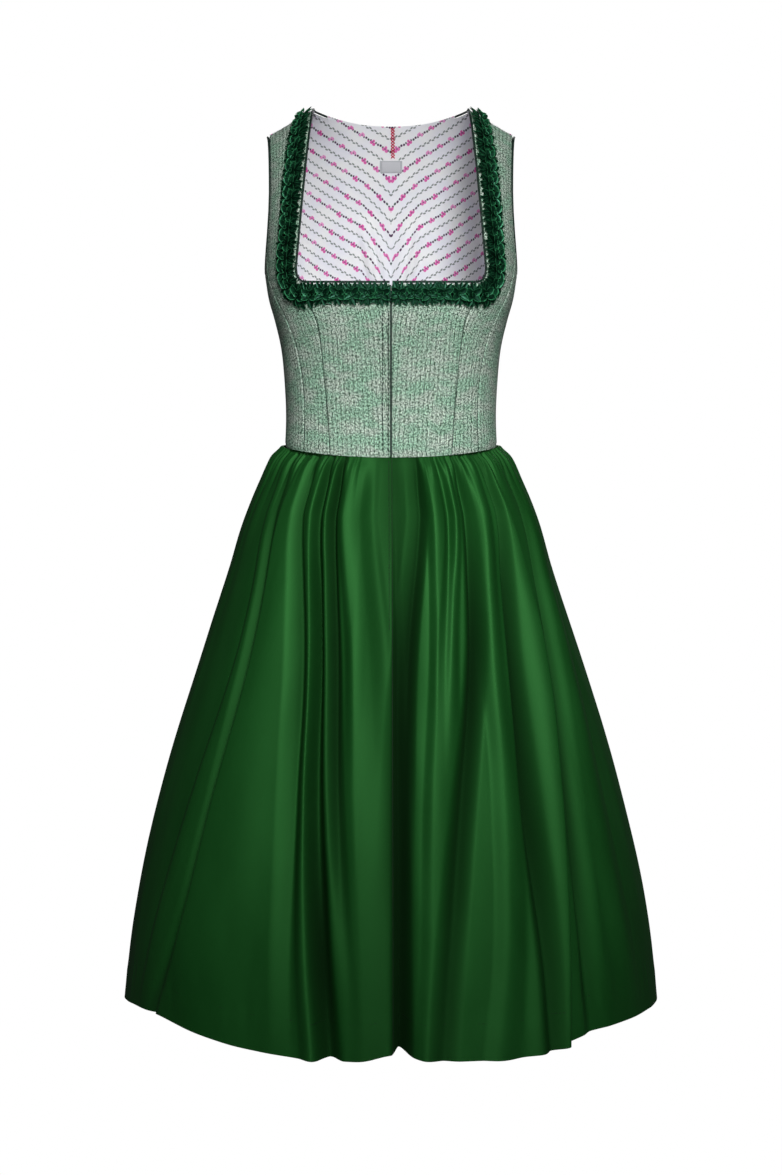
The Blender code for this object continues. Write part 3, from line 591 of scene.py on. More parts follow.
# ------------------------------------------------------------------- shader arithmetic
class Socket:
    """A value in a tree of nodes. Arithmetic on it adds Math nodes."""

    def __init__(self, nodes, end):
        self.nodes = nodes
        self.end = end

    def math(self, operation, *values):
        return self.nodes.node("ShaderNodeMath", {"operation": operation}, values)

    def __add__(self, other):
        return self.math("ADD", self, other)

    def __sub__(self, other):
        return self.math("SUBTRACT", self, other)

    def __rsub__(self, other):
        return self.math("SUBTRACT", other, self)

    def __mul__(self, other):
        return self.math("MULTIPLY", self, other)

    def __truediv__(self, other):
        return self.math("DIVIDE", self, other)

    def __rtruediv__(self, other):
        return self.math("DIVIDE", other, self)

    def __pow__(self, other):
        return self.math("POWER", self, other)

    __radd__ = __add__
    __rmul__ = __mul__

    def sine(self):
        return self.math("SINE", self)

    def wave(self, period):
        """A sine wave between 0 and 1."""
        return (self * (2 * math.pi / period)).sine() * 0.5 + 0.5

    def size(self):
        return self.math("ABSOLUTE", self)

    def fraction(self):
        return self.math("FRACT", self)

    def whole(self):
        return self.math("FLOOR", self)

    def most(self, other):
        return self.math("MAXIMUM", self, other)

    def repeat(self, period):
        """Distance from the middle of the nearest of a row of cells one period wide."""
        return ((self / period + 0.5).fraction() - 0.5) * period

    def fade(self, low, high):
        """0 below `low`, 1 above `high` and smooth between; falling if `low` is the greater."""
        limits = (low, high, 0.0, 1.0) if low < high else (high, low, 1.0, 0.0)
        return self.nodes.node("ShaderNodeMapRange", {"interpolation_type": "SMOOTHSTEP"},
                               (self, *limits))


class Nodes:
    """A tree of nodes that is being put together."""

    def __init__(self, tree):
        self.tree = tree

    def feed(self, socket, value):
        """Link a value to a node's input, or set it there."""
        if isinstance(value, Socket):
            self.tree.links.new(value.end, socket)
        elif socket.type == "RGBA":
            socket.default_value = (*value[:3], 1.0)
        else:
            socket.default_value = value

    def node(self, kind, settings, values, output=0):
        """Add a node: its type, its settings, and the values or links of its sockets."""
        node = self.tree.nodes.new(kind)
        for setting, value in settings.items():
            setattr(node, setting, value)
        places = values.items() if isinstance(values, dict) else enumerate(values)
        for place, value in places:
            self.feed(node.inputs[place], value)
        return Socket(self, node.outputs[output]) if node.outputs else None


class Finish(Nodes):
    """A material being put together round its Principled shader."""

    def __init__(self, name, **sockets):
        self.material = bpy.data.materials.new(name)
        self.material.use_nodes = True
        super().__init__(self.material.node_tree)
        self.shader = self.tree.nodes["Principled BSDF"]
        for socket, value in sockets.items():
            self.feed(self.shader.inputs[socket.replace("_", " ")], value)

    def flat_place(self):
        """The place in the cloth's flat cut, in mm: along the weft, and up the warp."""
        return self.in_millimetres(self.node("ShaderNodeUVMap", {"uv_map": CUT_MAP}, ()))

    def solid_place(self):
        """The place in the dress, in mm."""
        return self.in_millimetres(self.node("ShaderNodeTexCoord", {}, (), "Object"))

    def in_millimetres(self, place):
        """The three parts of a place that is in metres."""
        scaled = self.node("ShaderNodeVectorMath", {"operation": "SCALE"}, {0: place, "Scale": 1 / MM})
        split = self.node("ShaderNodeSeparateXYZ", {}, (scaled,))
        return [Socket(self, output) for output in split.end.node.outputs]

    def noise(self, vector, scale=1.0, detail=2.0, roughness=0.5):
        return self.node("ShaderNodeTexNoise", {"noise_dimensions": "3D"},
                         {"Vector": vector, "Scale": scale, "Detail": detail, "Roughness": roughness})

    def cells(self, along, across, size, layer, detail=2.0, roughness=0.5):
        """Noise in the flat cut with cells of a size in mm; each layer has another pattern."""
        place = self.node("ShaderNodeCombineXYZ", {}, (along / size[0], across / size[1], layer))
        return self.noise(place, detail=detail, roughness=roughness)

    def mix(self, share, low, high):
        """Colour between two, at a share from 0 to 1."""
        return self.node("ShaderNodeMix", {"data_type": "RGBA", "clamp_factor": True},
                         {0: share, 6: low, 7: high}, 2)

    def relief(self, height, strength, depth):
        """Relief on the surface: height from 0 to 1, depth in mm."""
        values = {"Strength": strength, "Distance": depth * MM, "Height": height}
        self.feed(self.shader.inputs["Normal"], self.node("ShaderNodeBump", {}, values))

    def colour(self, value):
        self.feed(self.shader.inputs["Base Color"], value)

    def roughness(self, value):
        self.feed(self.shader.inputs["Roughness"], value)


# --------------------------------------------------------------------------- finishes
def tweed_finish(settings):
    """Melange herringbone: pale and dark green yarns, in ribs up the warp."""
    finish = Finish("tweed", Specular_IOR_Level=0.15, Sheen_Weight=0.03, Sheen_Roughness=0.6)
    weft, warp, _ = finish.flat_place()
    rib = settings.rib_width
    turn = ((weft / (2 * rib)).fraction() - 0.5).size() * 2.0
    diagonal = warp + turn * rib
    twill = diagonal.wave(settings.twill_pitch)
    middle = (weft.repeat(rib) / rib).size() * 2.0
    yarn = settings.yarn
    speck = finish.cells(weft, diagonal, (yarn * 1.2, yarn), 0.0, detail=1.0)
    fleck = finish.cells(weft, warp, (yarn * 2.2, yarn * 1.5), 3.0, roughness=0.7)
    slub = finish.cells(weft, warp, (16.0, 2.6), 9.0)
    patch = finish.cells(weft, warp, (26.0, 16.0), 4.0, detail=3.0)
    shade = (speck.fade(0.43, 0.57) * 1.00 + fleck.fade(0.44, 0.56) * 0.30 + twill * 0.12
             + slub.fade(0.35, 0.65) * 0.16 - middle.fade(0.45, 0.95) * 0.37 - 0.20)
    light = finish.mix(patch.fade(0.36, 0.64), settings.mid_yarn, settings.pale_yarn)
    finish.colour(finish.mix(shade, settings.dark_yarn, light))
    finish.roughness(0.82 + fleck * 0.12)
    finish.relief(speck * 0.7 + twill * 0.3, 0.7, 0.30)
    return finish.material


def satin_finish(settings):
    """Cotton satin: a close weave with a soft gleam, slightly uneven, with painted shade down in the
    skirt's hollows.
    """
    finish = Finish("satin", Specular_IOR_Level=0.6, Specular_Tint=settings.gleam)
    weft, warp, _ = finish.flat_place()
    cloud = finish.cells(weft, warp, (60.0, 160.0), 0.0, detail=3.0)
    thread = finish.cells(weft, warp, (0.5, 9.0), 2.0, detail=1.0)
    crossing = finish.cells(weft, warp, (7.0, 0.6), 7.0, detail=1.0)
    tone = cloud * 0.6 + thread * 0.25 + crossing * 0.15
    # painted shade: the skirt's point attribute darkens the colour down in the hollows and makes the
    # satin rougher there
    hollow = finish.node("ShaderNodeAttribute", {"attribute_name": PAINTED_SHADE_MAP}, (), "Fac")
    lit = finish.mix(tone.fade(0.25, 0.75), settings.satin, settings.satin_lit)
    finish.colour(finish.mix(hollow, lit, settings.satin_painted_shade))
    finish.roughness(0.50 + thread * 0.08 + cloud * 0.06 + hollow * 0.42)
    finish.relief(thread * 0.6 + crossing * 0.4, 0.35, 0.08)
    return finish.material


RIBBON_RIB = 0.45         # distance between the ribs of the ruche's ribbon


def taffeta_finish(settings):
    """The ruche's ribbon: crisp, with a rib across it, painted highlights along the petals' edges, and
    painted shade towards each petal's foot and on the lower petals.
    """
    finish = Finish("ruche_taffeta", Specular_IOR_Level=0.45, Specular_Tint=settings.ribbon_gleam)
    along, across, _ = finish.flat_place()
    rib = along.wave(RIBBON_RIB)
    cloud = finish.noise(finish.node("ShaderNodeCombineXYZ", {}, finish.solid_place()),
                         scale=0.2, detail=3.0)
    upper = along.fade(PETAL_LENGTH + 1.0, UPPER_PLACE - 1.0)
    out = along - upper * UPPER_PLACE
    # painted highlight along the petals' edges and tips, stronger on the upper petals
    edge = across.size().fade(RUCHE_HALF * 0.72, RUCHE_HALF * 0.90) * out.fade(1.0, 5.0)
    # painted shade: darker towards each petal's foot and on the lower petals, with random cloudy tone
    lit = cloud.fade(0.3, 0.7) * out.fade(1.0, 7.0) * (upper * 0.75 + 0.25)
    ground = finish.mix(lit, settings.ribbon, settings.ribbon_light_and_tone)
    finish.colour(finish.mix(edge * (upper * 0.55 + 0.35), ground, settings.ribbon_edge_highlight))
    finish.roughness(0.30 + cloud * 0.12)
    finish.relief(rib * 0.6 + cloud * 0.4, 0.4, 0.08)
    return finish.material


COTTON_THREAD = 0.5       # distance between the lining's threads


def print_finish(settings):
    """White cotton with stripes of roses and dots, and leaf stripes between them.

    The cut's map runs along the stripes and across them, with a rose stripe at 0."""
    finish = Finish("lining_print", Roughness=0.75, Specular_IOR_Level=0.2)
    along, across, _ = finish.flat_place()
    period = settings.stripe_period
    rose_line = across.repeat(period)
    leaf_line = (across + period / 2).repeat(period)

    def dot(aside, upward, radius):
        return ((aside * aside + upward * upward) ** 0.5).fade(radius + 0.35, radius - 0.35)

    bloom = along.repeat(settings.rose_spacing)
    number = (along / settings.rose_spacing + 0.5).whole()
    chance = ((number * 12.9898).sine() * 437.58).fraction() - 0.5
    size = settings.rose_size
    rose_up = rose_line - chance * 1.2
    rose = dot(bloom + size * 0.55, rose_up - chance * size, size * 0.62).most(
        dot(bloom - size * 0.6, rose_up + size * 0.3, size * 0.58)).most(
        dot(bloom, rose_up - size * 0.55, size * 0.5))
    heart = dot(bloom + chance, rose_up, size * 0.28)

    step = settings.rose_spacing / 5
    bead = along.repeat(step)
    row = (along / step + 0.5).whole()
    lift = (row * 0.5).fraction() * 1.2 - 0.3
    beads = dot(bead, rose_line - lift, settings.dot_size) * bloom.size().fade(size * 0.7, size)
    bead_green = (row * (1 / 3)).fraction().fade(0.4, 0.5)

    sprig = settings.sprig_spacing
    vine = leaf_line.size().fade(0.5, 0.2)
    leaf_along = along.repeat(sprig)
    side = ((along / sprig + 0.5).whole() * 0.5).fraction() * 4.0 - 1.0
    leaf_out = leaf_line - side * 0.85
    tilted = leaf_along - side * leaf_out * 0.8
    leaf = (tilted * tilted / 2.9 + leaf_out * leaf_out / 0.9).fade(1.25, 0.8)

    soft = finish.cells(along, across, (30.0, 30.0), 0.0, detail=1.0)
    cloth = finish.mix(soft.fade(0.3, 0.7), settings.ground, settings.ground_shade)
    cloth = finish.mix(vine * 0.35, cloth, settings.vine)
    cloth = finish.mix(leaf * 0.8, cloth, settings.leaf)
    cloth = finish.mix(beads, cloth, finish.mix(bead_green, settings.plum, settings.leaf))
    petal = (number * 0.5).fraction() * 1.2 + chance
    cloth = finish.mix(rose, cloth, finish.mix(petal, settings.rose, settings.rose_pale))
    finish.colour(finish.mix(heart * 0.8, cloth, settings.plum))
    turns = 2 * math.pi / COTTON_THREAD
    weave = (along * turns).sine() * (across * turns).sine()
    finish.relief(weave, 0.3, 0.05)
    return finish.material


def cord_finish(name, colour, pitch):
    """Twisted or wound yarn, read in the dress's own space."""
    finish = Finish(name, Specular_IOR_Level=0.3)
    x, y, z = finish.solid_place()
    twist = (x + y + z).wave(pitch)
    fuzz = finish.noise(finish.node("ShaderNodeCombineXYZ", {}, (x, y, z)), scale=2.5)
    shade = [channel * 2.2 for channel in colour]
    finish.colour(finish.mix(twist * 0.5 + fuzz * 0.5, colour, shade))
    finish.roughness(0.55 + fuzz * 0.2)
    finish.relief(twist, 0.6, 0.1)
    return finish.material


def label_finish(settings):
    """Bare woven label: fine cross ribs and a darker woven border."""
    finish = Finish("label_weave", Roughness=0.6, Specular_IOR_Level=0.3, Sheen_Weight=0.2)
    along, across, _ = finish.flat_place()
    width, height = LABEL_SIZE
    border = (along.size() / (width / 2)).most(across.size() / (height / 2)).fade(0.78, 0.86)
    rib = across.wave(LABEL_RIB)
    ground = finish.mix(rib * 0.5, settings.label, settings.label_dark)
    finish.colour(finish.mix(border * 0.35, ground, settings.label_dark))
    finish.relief(rib, 0.4, 0.06)
    return finish.material


# --------------------------------------------------------------------------- settings
def colour_setting(name, description, default):
    """A setting for a colour."""
    return FloatVectorProperty(name=name, description=description, subtype="COLOR", default=default)


def number_setting(name, description, default, least, most, **kind):
    """A setting for a number; `kind` may give it a unit or a subtype."""
    return FloatProperty(name=name, description=description, default=default,
                         min=least, max=most, **kind)


def count_setting(name, description, default, least, most):
    """A setting for a whole number."""
    return IntProperty(name=name, description=description, default=default, min=least, max=most)


# ------------------------------------------------------------------------ making cloth
CUT_MAP = "UVMap"         # the map that holds a sheet's flat cut
PAINTED_SHADE_MAP = "hollow"     # the attribute that holds the painted shade at each point of the skirt, deepest in its hollows


def lengths_between(points, axis):
    """Running length along rows or columns of points."""
    steps = np.linalg.norm(np.diff(points, axis=axis), axis=-1)
    pad = [(0, 0), (0, 0)]
    pad[axis] = (1, 0)
    return np.cumsum(np.pad(steps, pad), axis=axis)


def cut_plane(points):
    """Each point's place in the flat cut, in mm, from its distances on the surface."""
    across = lengths_between(points, 1)
    middle = points.shape[1] // 2
    upward = lengths_between(points, 0)
    return np.stack([across - across[:, middle:middle + 1],
                     np.broadcast_to(upward[:, middle:middle + 1], across.shape)], axis=-1)


def add_grid(name, points, plane, mirrored=False):
    """A grid whose corners lie at rows and columns of points, all in mm."""
    if mirrored:
        points = points[:, ::-1] * (-1.0, 1.0, 1.0)
        plane = plane[:, ::-1]
    rows, columns = points.shape[:2]
    bpy.ops.object.select_all(action="DESELECT")
    bpy.ops.mesh.primitive_grid_add(x_subdivisions=columns - 1, y_subdivisions=rows - 1, size=1.0)
    piece = bpy.context.object
    piece.name = piece.data.name = name
    mesh = piece.data
    mesh.vertices.foreach_set("co", (points.reshape(-1, 3) * MM).ravel())
    corners = np.zeros(len(mesh.loops), np.int32)
    mesh.loops.foreach_get("vertex_index", corners)
    mesh.uv_layers.active.name = CUT_MAP
    mesh.uv_layers.active.data.foreach_set("uv", (plane.reshape(-1, 2)[corners] * MM).ravel())
    mesh.update()
    return piece


def apply_modifier(piece, kind, **settings):
    """Add a modifier to the active piece, set it and apply it."""
    bpy.ops.object.modifier_add(type=kind)
    modifier = piece.modifiers[-1]
    for setting, value in settings.items():
        setattr(modifier, setting, value)
    bpy.ops.object.modifier_apply(modifier=modifier.name)


def finish_cloth(piece, thickness, outer, inner=None, smooth=35.0):
    """Give a sheet its wall, its finish outside and inside, and soft shading."""
    piece.data.materials.append(outer)
    if inner:
        piece.data.materials.append(inner)
    apply_modifier(piece, "SOLIDIFY", thickness=thickness * MM, offset=-1.0,
                   material_offset=1 if inner else 0)
    soften(smooth)


def soften(degrees):
    """Shade the active piece smooth, except at edges sharper than this."""
    bpy.ops.object.shade_smooth_by_angle(angle=math.radians(degrees))


def turn_faces(mirrored=False):
    """Turn the active piece's faces round, after mirroring it to the right side if asked."""
    bpy.ops.object.mode_set(mode="EDIT")
    bpy.ops.mesh.select_all(action="SELECT")
    if mirrored:
        bpy.ops.transform.mirror(constraint_axis=(True, False, False),
                                 center_override=(0.0, 0.0, 0.0))
    bpy.ops.mesh.flip_normals()
    bpy.ops.object.mode_set(mode="OBJECT")


def join_pieces(name, pieces):
    """Join pieces into the first and rename it."""
    bpy.ops.object.select_all(action="DESELECT")
    for piece in pieces:
        piece.select_set(True)
    bpy.context.view_layer.objects.active = pieces[0]
    if len(pieces) > 1:
        bpy.ops.object.join()
    pieces[0].name = pieces[0].data.name = name
    return pieces[0]


def place(piece, slot, *nodes):
    """Ride with the dress and stand for CAD nodes, which it hides; the slot is not used."""
    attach(piece, "root")
    if nodes:
        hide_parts(*nodes)


def declare_cut(points, fullness=1.0):
    """Work out the width, length and area of a sheet's flat cut from its rows and columns of points; they
    are not kept.
    """
    width = lengths_between(points, 1)[:, -1].max() * MM * fullness
    length = lengths_between(points, 0)[-1].max() * MM
    area = cloth_area(points) * fullness


def cloth_area(points):
    """Area of a grid of points in square metres."""
    right = np.diff(points, axis=1)[:-1]
    upward = np.diff(points, axis=0)[:, :-1]
    return float(np.linalg.norm(np.cross(right, upward), axis=-1).sum()) * MM * MM


# ------------------------------------------------------------------------- the bodice
PUCKER = 0.16             # height of the fine puckers along the bodice's seams,
PUCKER_REACH = 5.0        # how far from a seam they die out
PUCKER_LENGTH = 7.3       # and the length of one
PATTERN_SHIFT = (83.0, 57.0)   # keeps the two sides' melange from mirroring each other
RIPPLE = 0.35             # height of the soft ripples over the rest of it
WAIST_REACH = 0.10        # rise over which the ripples at the waist die out


def crowded(count):
    """Shares from 0 to 1, closer together at both ends."""
    return (1.0 - np.cos(np.linspace(0.0, math.pi, count))) / 2


def fine_rises(last_rise, parts):
    """The panels' rows, each step between them cut into equal parts."""
    rises = [rise for rise in RISES if rise <= last_rise]
    return np.interp(np.linspace(0, len(rises) - 1, (len(rises) - 1) * parts + 1),
                     np.arange(len(rises)), rises)


def fine_grid(panel, last_rise, settings):
    """The angles and rises of a panel's points, in rows and columns."""
    rises = fine_rises(last_rise, settings.parts)
    return panel(*np.meshgrid(crowded(settings.columns), rises))


def seam_distance(points):
    """How far each point of a panel is from the nearer of its two side seams, in mm."""
    across = lengths_between(points, 1)
    return np.minimum(across, across[:, -1:] - across)


def seam_roll(points, width, depth):
    """How far a panel turns in at its edges, in mm, so that seams read as soft valleys."""
    upward = lengths_between(points, 0)
    near = np.minimum(seam_distance(points), np.minimum(upward, upward[-1:] - upward))
    return -depth * np.exp(-(near / width) ** 2)


def bodice_relief(angle, rise, points):
    """Slight ripples of a fitted bodice, in mm, strongest along its seams and at the waist."""
    z = points[..., 2]
    pucker = PUCKER * np.exp(-seam_distance(points) / PUCKER_REACH)
    pucker = pucker * np.sin(z * 2 * math.pi / PUCKER_LENGTH + 3 * np.sin(z / 19))
    waist = RIPPLE * np.exp(-(rise + 1.0) / WAIST_REACH)
    waist = waist * np.sin(angle / 3.1 + 2.0 * np.sin(angle / 11.0))
    soft = RIPPLE * np.sin(angle / 9.0 + z / 31.0) * np.sin(z / 23.0 + angle / 17.0)
    return pucker + waist + soft * np.clip(1.2 - np.abs(rise + 0.5), 0.0, 1.0)


class BodiceSettings(bpy.types.PropertyGroup):
    """Sizes and colours of the tweed bodice."""
    wall: number_setting("Wall", "Thickness of the tweed in millimetres", BODICE_WALL, 0.5, 3.0)
    columns: count_setting("Columns", "Grid columns in each panel", 37, 9, 80)
    parts: count_setting("Rows", "Grid rows in each row of the frame's panels", 7, 2, 16)
    seam_width: number_setting("Seam width", "How far from a seam the cloth turns in, in millimetres",
                               0.9, 0.2, 4.0)
    seam_depth: number_setting("Seam depth", "How deep it turns in, in millimetres", 1.3, 0.0, 2.0)
    rib_width: number_setting("Rib width", "Width of a herringbone rib in millimetres",
                              5.2, 1.0, 20.0)
    twill_pitch: number_setting("Twill pitch", "Distance between twill lines in millimetres",
                                1.9, 0.5, 6.0)
    yarn: number_setting("Yarn", "Width of a yarn in millimetres", 1.25, 0.2, 3.0)
    pale_yarn: colour_setting("Pale yarn", "Colour of the palest yarns", (0.76, 0.90, 0.78))
    mid_yarn: colour_setting("Middle yarn", "Colour of the middle yarns", (0.52, 0.82, 0.62))
    dark_yarn: colour_setting("Dark yarn", "Colour of the dark yarns", (0.008, 0.050, 0.020))


class DIRNDL_OT_bodice(bpy.types.Operator):
    """Make the ten tweed panels, lined with printed cotton"""
    bl_idname = "dirndl.bodice"
    bl_label = "Bodice"

    def execute(self, context):
        settings = context.scene.dirndl_bodice
        tweed = tweed_finish(settings)
        lining = print_finish(context.scene.dirndl_lining)
        for name, panel, last_rise in BODICE_PANELS:
            angle, rise = fine_grid(panel, last_rise, settings)
            bare = bodice(angle, rise)
            relief = (bodice_relief(angle, rise, bare)
                      + seam_roll(bare, settings.seam_width, settings.seam_depth))
            inner = None if name in ("side_back", "centre_back") else lining
            points = bodice(angle, rise, relief)
            for label, sign in SIDES:
                plane = cut_plane(points) + np.multiply(sign, PATTERN_SHIFT)
                piece = add_grid(f"tweed_{name}_{label}", points, plane, sign < 0)
                finish_cloth(piece, settings.wall, tweed, inner)
                place(piece, "tweed", f"bodice_{name}_{label}")
                declare_cut(points)
        return {"FINISHED"}


# ------------------------------------------------------------------------- the lining
LINING_OVER = (0.0, 0.0, 3.8)   # the lining turns up over the neck piping by this
CHEVRON_START = 11.8      # a rose stripe crosses the centre back this far above the neck point
CHEVRON_TOP = -34.0       # below this height the stripes steepen towards the centre back,
CHEVRON_ASIDE = 36.0      # where they are nearer to it than this,
CHEVRON_PULL = 0.19       # pulled down by this share of the height
LINING_RIPPLE = 0.4       # height of the lining's soft ripples
NECK_CLEAR = 0.7          # it stands further off the tweed near the neck by this,
NECK_CLEAR_HEIGHTS = (-30.0, -18.0)   # growing between these two heights
DART_TOP = -125.0         # height where the soft folds of the darts start
DART_LENGTH = 100.0       # and over which they grow and die out again
DART_TAPER = 0.22         # they draw nearer to the middle by this share of their length
DART_FOLDS = ((0.0, 7.0, 5.0), (15.0, 4.0, 6.0))   # place inwards, height and half width of each


def stripe_place(angle, points, slope):
    """Place along and across the stripes of the chevron print, in mm."""
    aside = np.radians(180.0 - angle) * BUST_HALF
    within = np.clip(1.0 - np.abs(aside) / CHEVRON_ASIDE, 0.0, 1.0)
    pulled = CHEVRON_PULL * np.maximum(CHEVRON_TOP - points[..., 2], 0.0) * within
    height = points[..., 2] + pulled - CHEVRON_START
    turn = math.radians(slope)
    along = aside * math.cos(turn) + height * math.sin(turn)
    across = height * math.cos(turn) - aside * math.sin(turn)
    return np.stack([along, across], axis=-1)


def lining_relief(angle, points):
    """How far the back lining stands off the tweed, with the soft folds of its darts, in mm."""
    aside = np.radians(180.0 - angle) * BUST_HALF
    height = points[..., 2]
    grown = np.sin(np.pi * np.clip((DART_TOP + 8.0 - height) / DART_LENGTH, 0.0, 1.0)) ** 0.8
    course = CHEVRON_ASIDE - DART_TAPER * np.maximum(DART_TOP - height, 0.0)
    away = np.abs(aside) - course
    folds = sum(tall * np.exp(-((away + inwards) / half) ** 2) for inwards, tall, half in DART_FOLDS)
    low, high = NECK_CLEAR_HEIGHTS
    clear = NECK_CLEAR * np.clip((height - low) / (high - low), 0.0, 1.0)
    return LINING_RIPPLE * (1 + np.sin(angle / 7.3 + height / 21.0)) + grown * folds + clear


class LiningSettings(bpy.types.PropertyGroup):
    """Sizes and colours of the printed lining."""
    wall: number_setting("Wall", "Thickness of the lining in millimetres", LINING_WALL, 0.3, 2.0)
    columns: count_setting("Columns", "Grid columns in each panel", 41, 9, 100)
    parts: count_setting("Rows", "Grid rows in each row of the frame's panels", 6, 2, 16)
    slope: number_setting("Slope", "Slope of the stripes in degrees", 27.0, 0.0, 80.0)
    stripe_period: number_setting("Stripe period", "Distance between rose stripes in millimetres",
                                  23.6, 5.0, 80.0)
    rose_spacing: number_setting("Rose spacing", "Distance between roses in millimetres",
                                 16.4, 4.0, 60.0)
    rose_size: number_setting("Rose size", "Radius of a rose in millimetres", 3.1, 0.5, 10.0)
    dot_size: number_setting("Dot size", "Radius of a dot in millimetres", 1.35, 0.2, 4.0)
    sprig_spacing: number_setting("Sprig spacing", "Distance between leaves in millimetres",
                                  3.5, 1.0, 40.0)
    ground: colour_setting("Ground", "Colour of the cotton", (0.98, 0.99, 1.0))
    ground_shade: colour_setting("Ground shade", "Colour of its shaded fibres", (0.92, 0.93, 1.0))
    rose: colour_setting("Rose", "Colour of the roses", (0.78, 0.13, 0.45))
    rose_pale: colour_setting("Pale rose", "Colour of the roses' pale petals", (0.88, 0.36, 0.68))
    plum: colour_setting("Plum", "Colour of the dots", (0.06, 0.010, 0.07))
    leaf: colour_setting("Leaf", "Colour of the leaves", (0.05, 0.08, 0.07))
    vine: colour_setting("Vine", "Colour of the vine", (0.22, 0.27, 0.24))


class DIRNDL_OT_lining(bpy.types.Operator):
    """Make the printed back lining, with its darts"""
    bl_idname = "dirndl.lining"
    bl_label = "Lining"

    def execute(self, context):
        settings = context.scene.dirndl_lining
        cotton = bpy.data.materials.get("lining_print") or print_finish(settings)
        depth = BODICE_WALL + LINING_GAP
        for name, panel, last_rise in BODICE_PANELS[-2:]:
            angle, rise = fine_grid(panel, last_rise, settings)
            bare = bodice(angle, rise, -depth)
            points = bodice(angle, rise, -depth - lining_relief(angle, bare))
            over = np.clip((rise - rise[-3:-2]) / (rise[-1:] - rise[-3:-2]), 0.0, 1.0)
            points = points + over[..., None] * LINING_OVER
            for label, sign in SIDES:
                plane = stripe_place(angle, points, settings.slope)
                piece = add_grid(f"cotton_{name}_{label}", points, plane, sign < 0)
                finish_cloth(piece, settings.wall, cotton)
                place(piece, "print", f"lining_{name}_{label}")
                declare_cut(points)
        return {"FINISHED"}


# -------------------------------------------------------------------------- the skirt
HEM_DEPTH = 39.0          # the hem's line of stitches lies this far above its edge
HEM_SINK = 0.55           # the stitches pull the satin in by this,
HEM_GROOVE = 1.3          # half the width of the groove that they make,
HEM_TUCK = 0.35           # the tucks beside them are this high,
HEM_TUCK_REACH = 9.0      # dying out over this distance,
HEM_PROUD = 0.5           # and the hem's doubled cloth below them stands out by this
PLEAT_REACH = 28.0        # drop over which the small pleats at the waist die out
PLEAT_HEIGHT = 2.2        # height of the small pleats
PLEAT_CREASE = 1.2        # and of the still smaller ones over them
DRIFT_HEIGHTS = (0.55, 0.30)   # height of the satin's long, soft unevenness, and of its short one
CENTRE_SINK = 7.0         # the satin sinks in by this beside the front seam,
CENTRE_SINK_DROP = 70.0   # most at this drop,
CENTRE_SINK_REACH = 45.0  # this far above and below it
CENTRE_SINK_ANGLE = 13.0  # and this many degrees to each side
UNDERLAP = 0.12           # the left front runs on under the right one by this share of a gather
CREASE_HALF = 210.0       # the half width of the skirt at which widths of creases are given
SKIRT_CREASES = (
    # a sharp crease at the bottom of a hollow: its depth in mm at FOLD_DROPS, and its half
    # widths to the right and left in mm; name, depth x5, width before, width after
    ("first hollow", (1, 2, 2, 1, 0), 2.4, 2.4),
    ("second hollow", (2, 3, 3, 1, 0), 2.2, 2.2),
    ("black hollow", (3, 8, 12, 14, 12), 3.2, 6.0),
    ("inner hollow", (3, 4, 3, 0, 0), 2.0, 2.0),
    ("seam hollow", (1, 4, 15, 24, 26), 2.4, 6.5),
    ("underlap", (3, 4, 2, 0, 0), 2.6, 2.6),
    ("left hollow", (5, 9, 8, 4, 3), 3.6, 3.6),
    ("hooked hollow", (4, 9, 13, 12, 10), 3.0, 8.0),
    ("last hollow", (2, 4, 5, 3, 1), 3.0, 3.0),
)
SKIRT_PAINTED_SHADES = (
    # painted shade down in a hollow, from 0 to 1 at the same drops, and how far that reaches
    # to the right and left in mm; name, painted shade x5, reach before, reach after
    ("first hollow", (.4, .3, .2, 0, 0), 14, 10),
    ("second hollow", (.4, .4, .2, .1, 0), 14, 7),
    ("black hollow", (.4, .3, .4, 1, .7), 12, 12),
    ("inner hollow", (.6, .8, .7, .1, 0), 13, 10),
    ("centre flat", (.45, .15, 0, 0, 0), 46, 44),
    ("front dip", (.1, .1, .15, .3, .3), 40, 20),
    ("seam hollow", (.1, .7, 1, 1, 1), 9, 16),
    ("underlap", (.5, .9, .8, 0, 0), 26, 12),
    ("left hollow", (.2, .9, .8, .6, .5), 16, 16),
    ("hooked hollow", (.2, .9, .9, .6, .5), 14, 14),
    ("last hollow", (.2, .5, .8, .4, 0), 14, 14),
)


def beside_fold(turned, drop, fold):
    """Distance from a hollow's middle, towards the left, in mm."""
    across = next(places for name, places, *_ in SKIRT_FOLDS if name == fold)
    centre = np.degrees(np.arcsin(2.0 * read(FOLD_DROPS, across, drop) - 1.0))
    return np.radians(turned - centre) * CREASE_HALF


def crease_depth(turned, drop):
    """How far the sharp creases cut into the skirt, in mm."""
    depth = np.zeros(np.broadcast(turned, drop).shape)
    for name, deep, before, after in SKIRT_CREASES:
        away = beside_fold(turned, drop, name)
        away = np.clip(away / np.where(away < 0, before, after), -30.0, 30.0)
        depth = depth + read(FOLD_DROPS, deep, drop) / np.cosh(away)
    return depth * np.clip(drop / 30.0, 0.0, 1.0)


def painted_hollow_shade(turned, drop):
    """How much painted shade darkens the satin down in the hollows, from 0 to 1."""
    left = np.ones(np.broadcast(turned, drop).shape)
    for name, dark, before, after in SKIRT_PAINTED_SHADES:
        share = bump(beside_fold(turned, drop, name), before, after)
        left = left * (1.0 - read(FOLD_DROPS, dark, drop) * share)
    return 1.0 - left


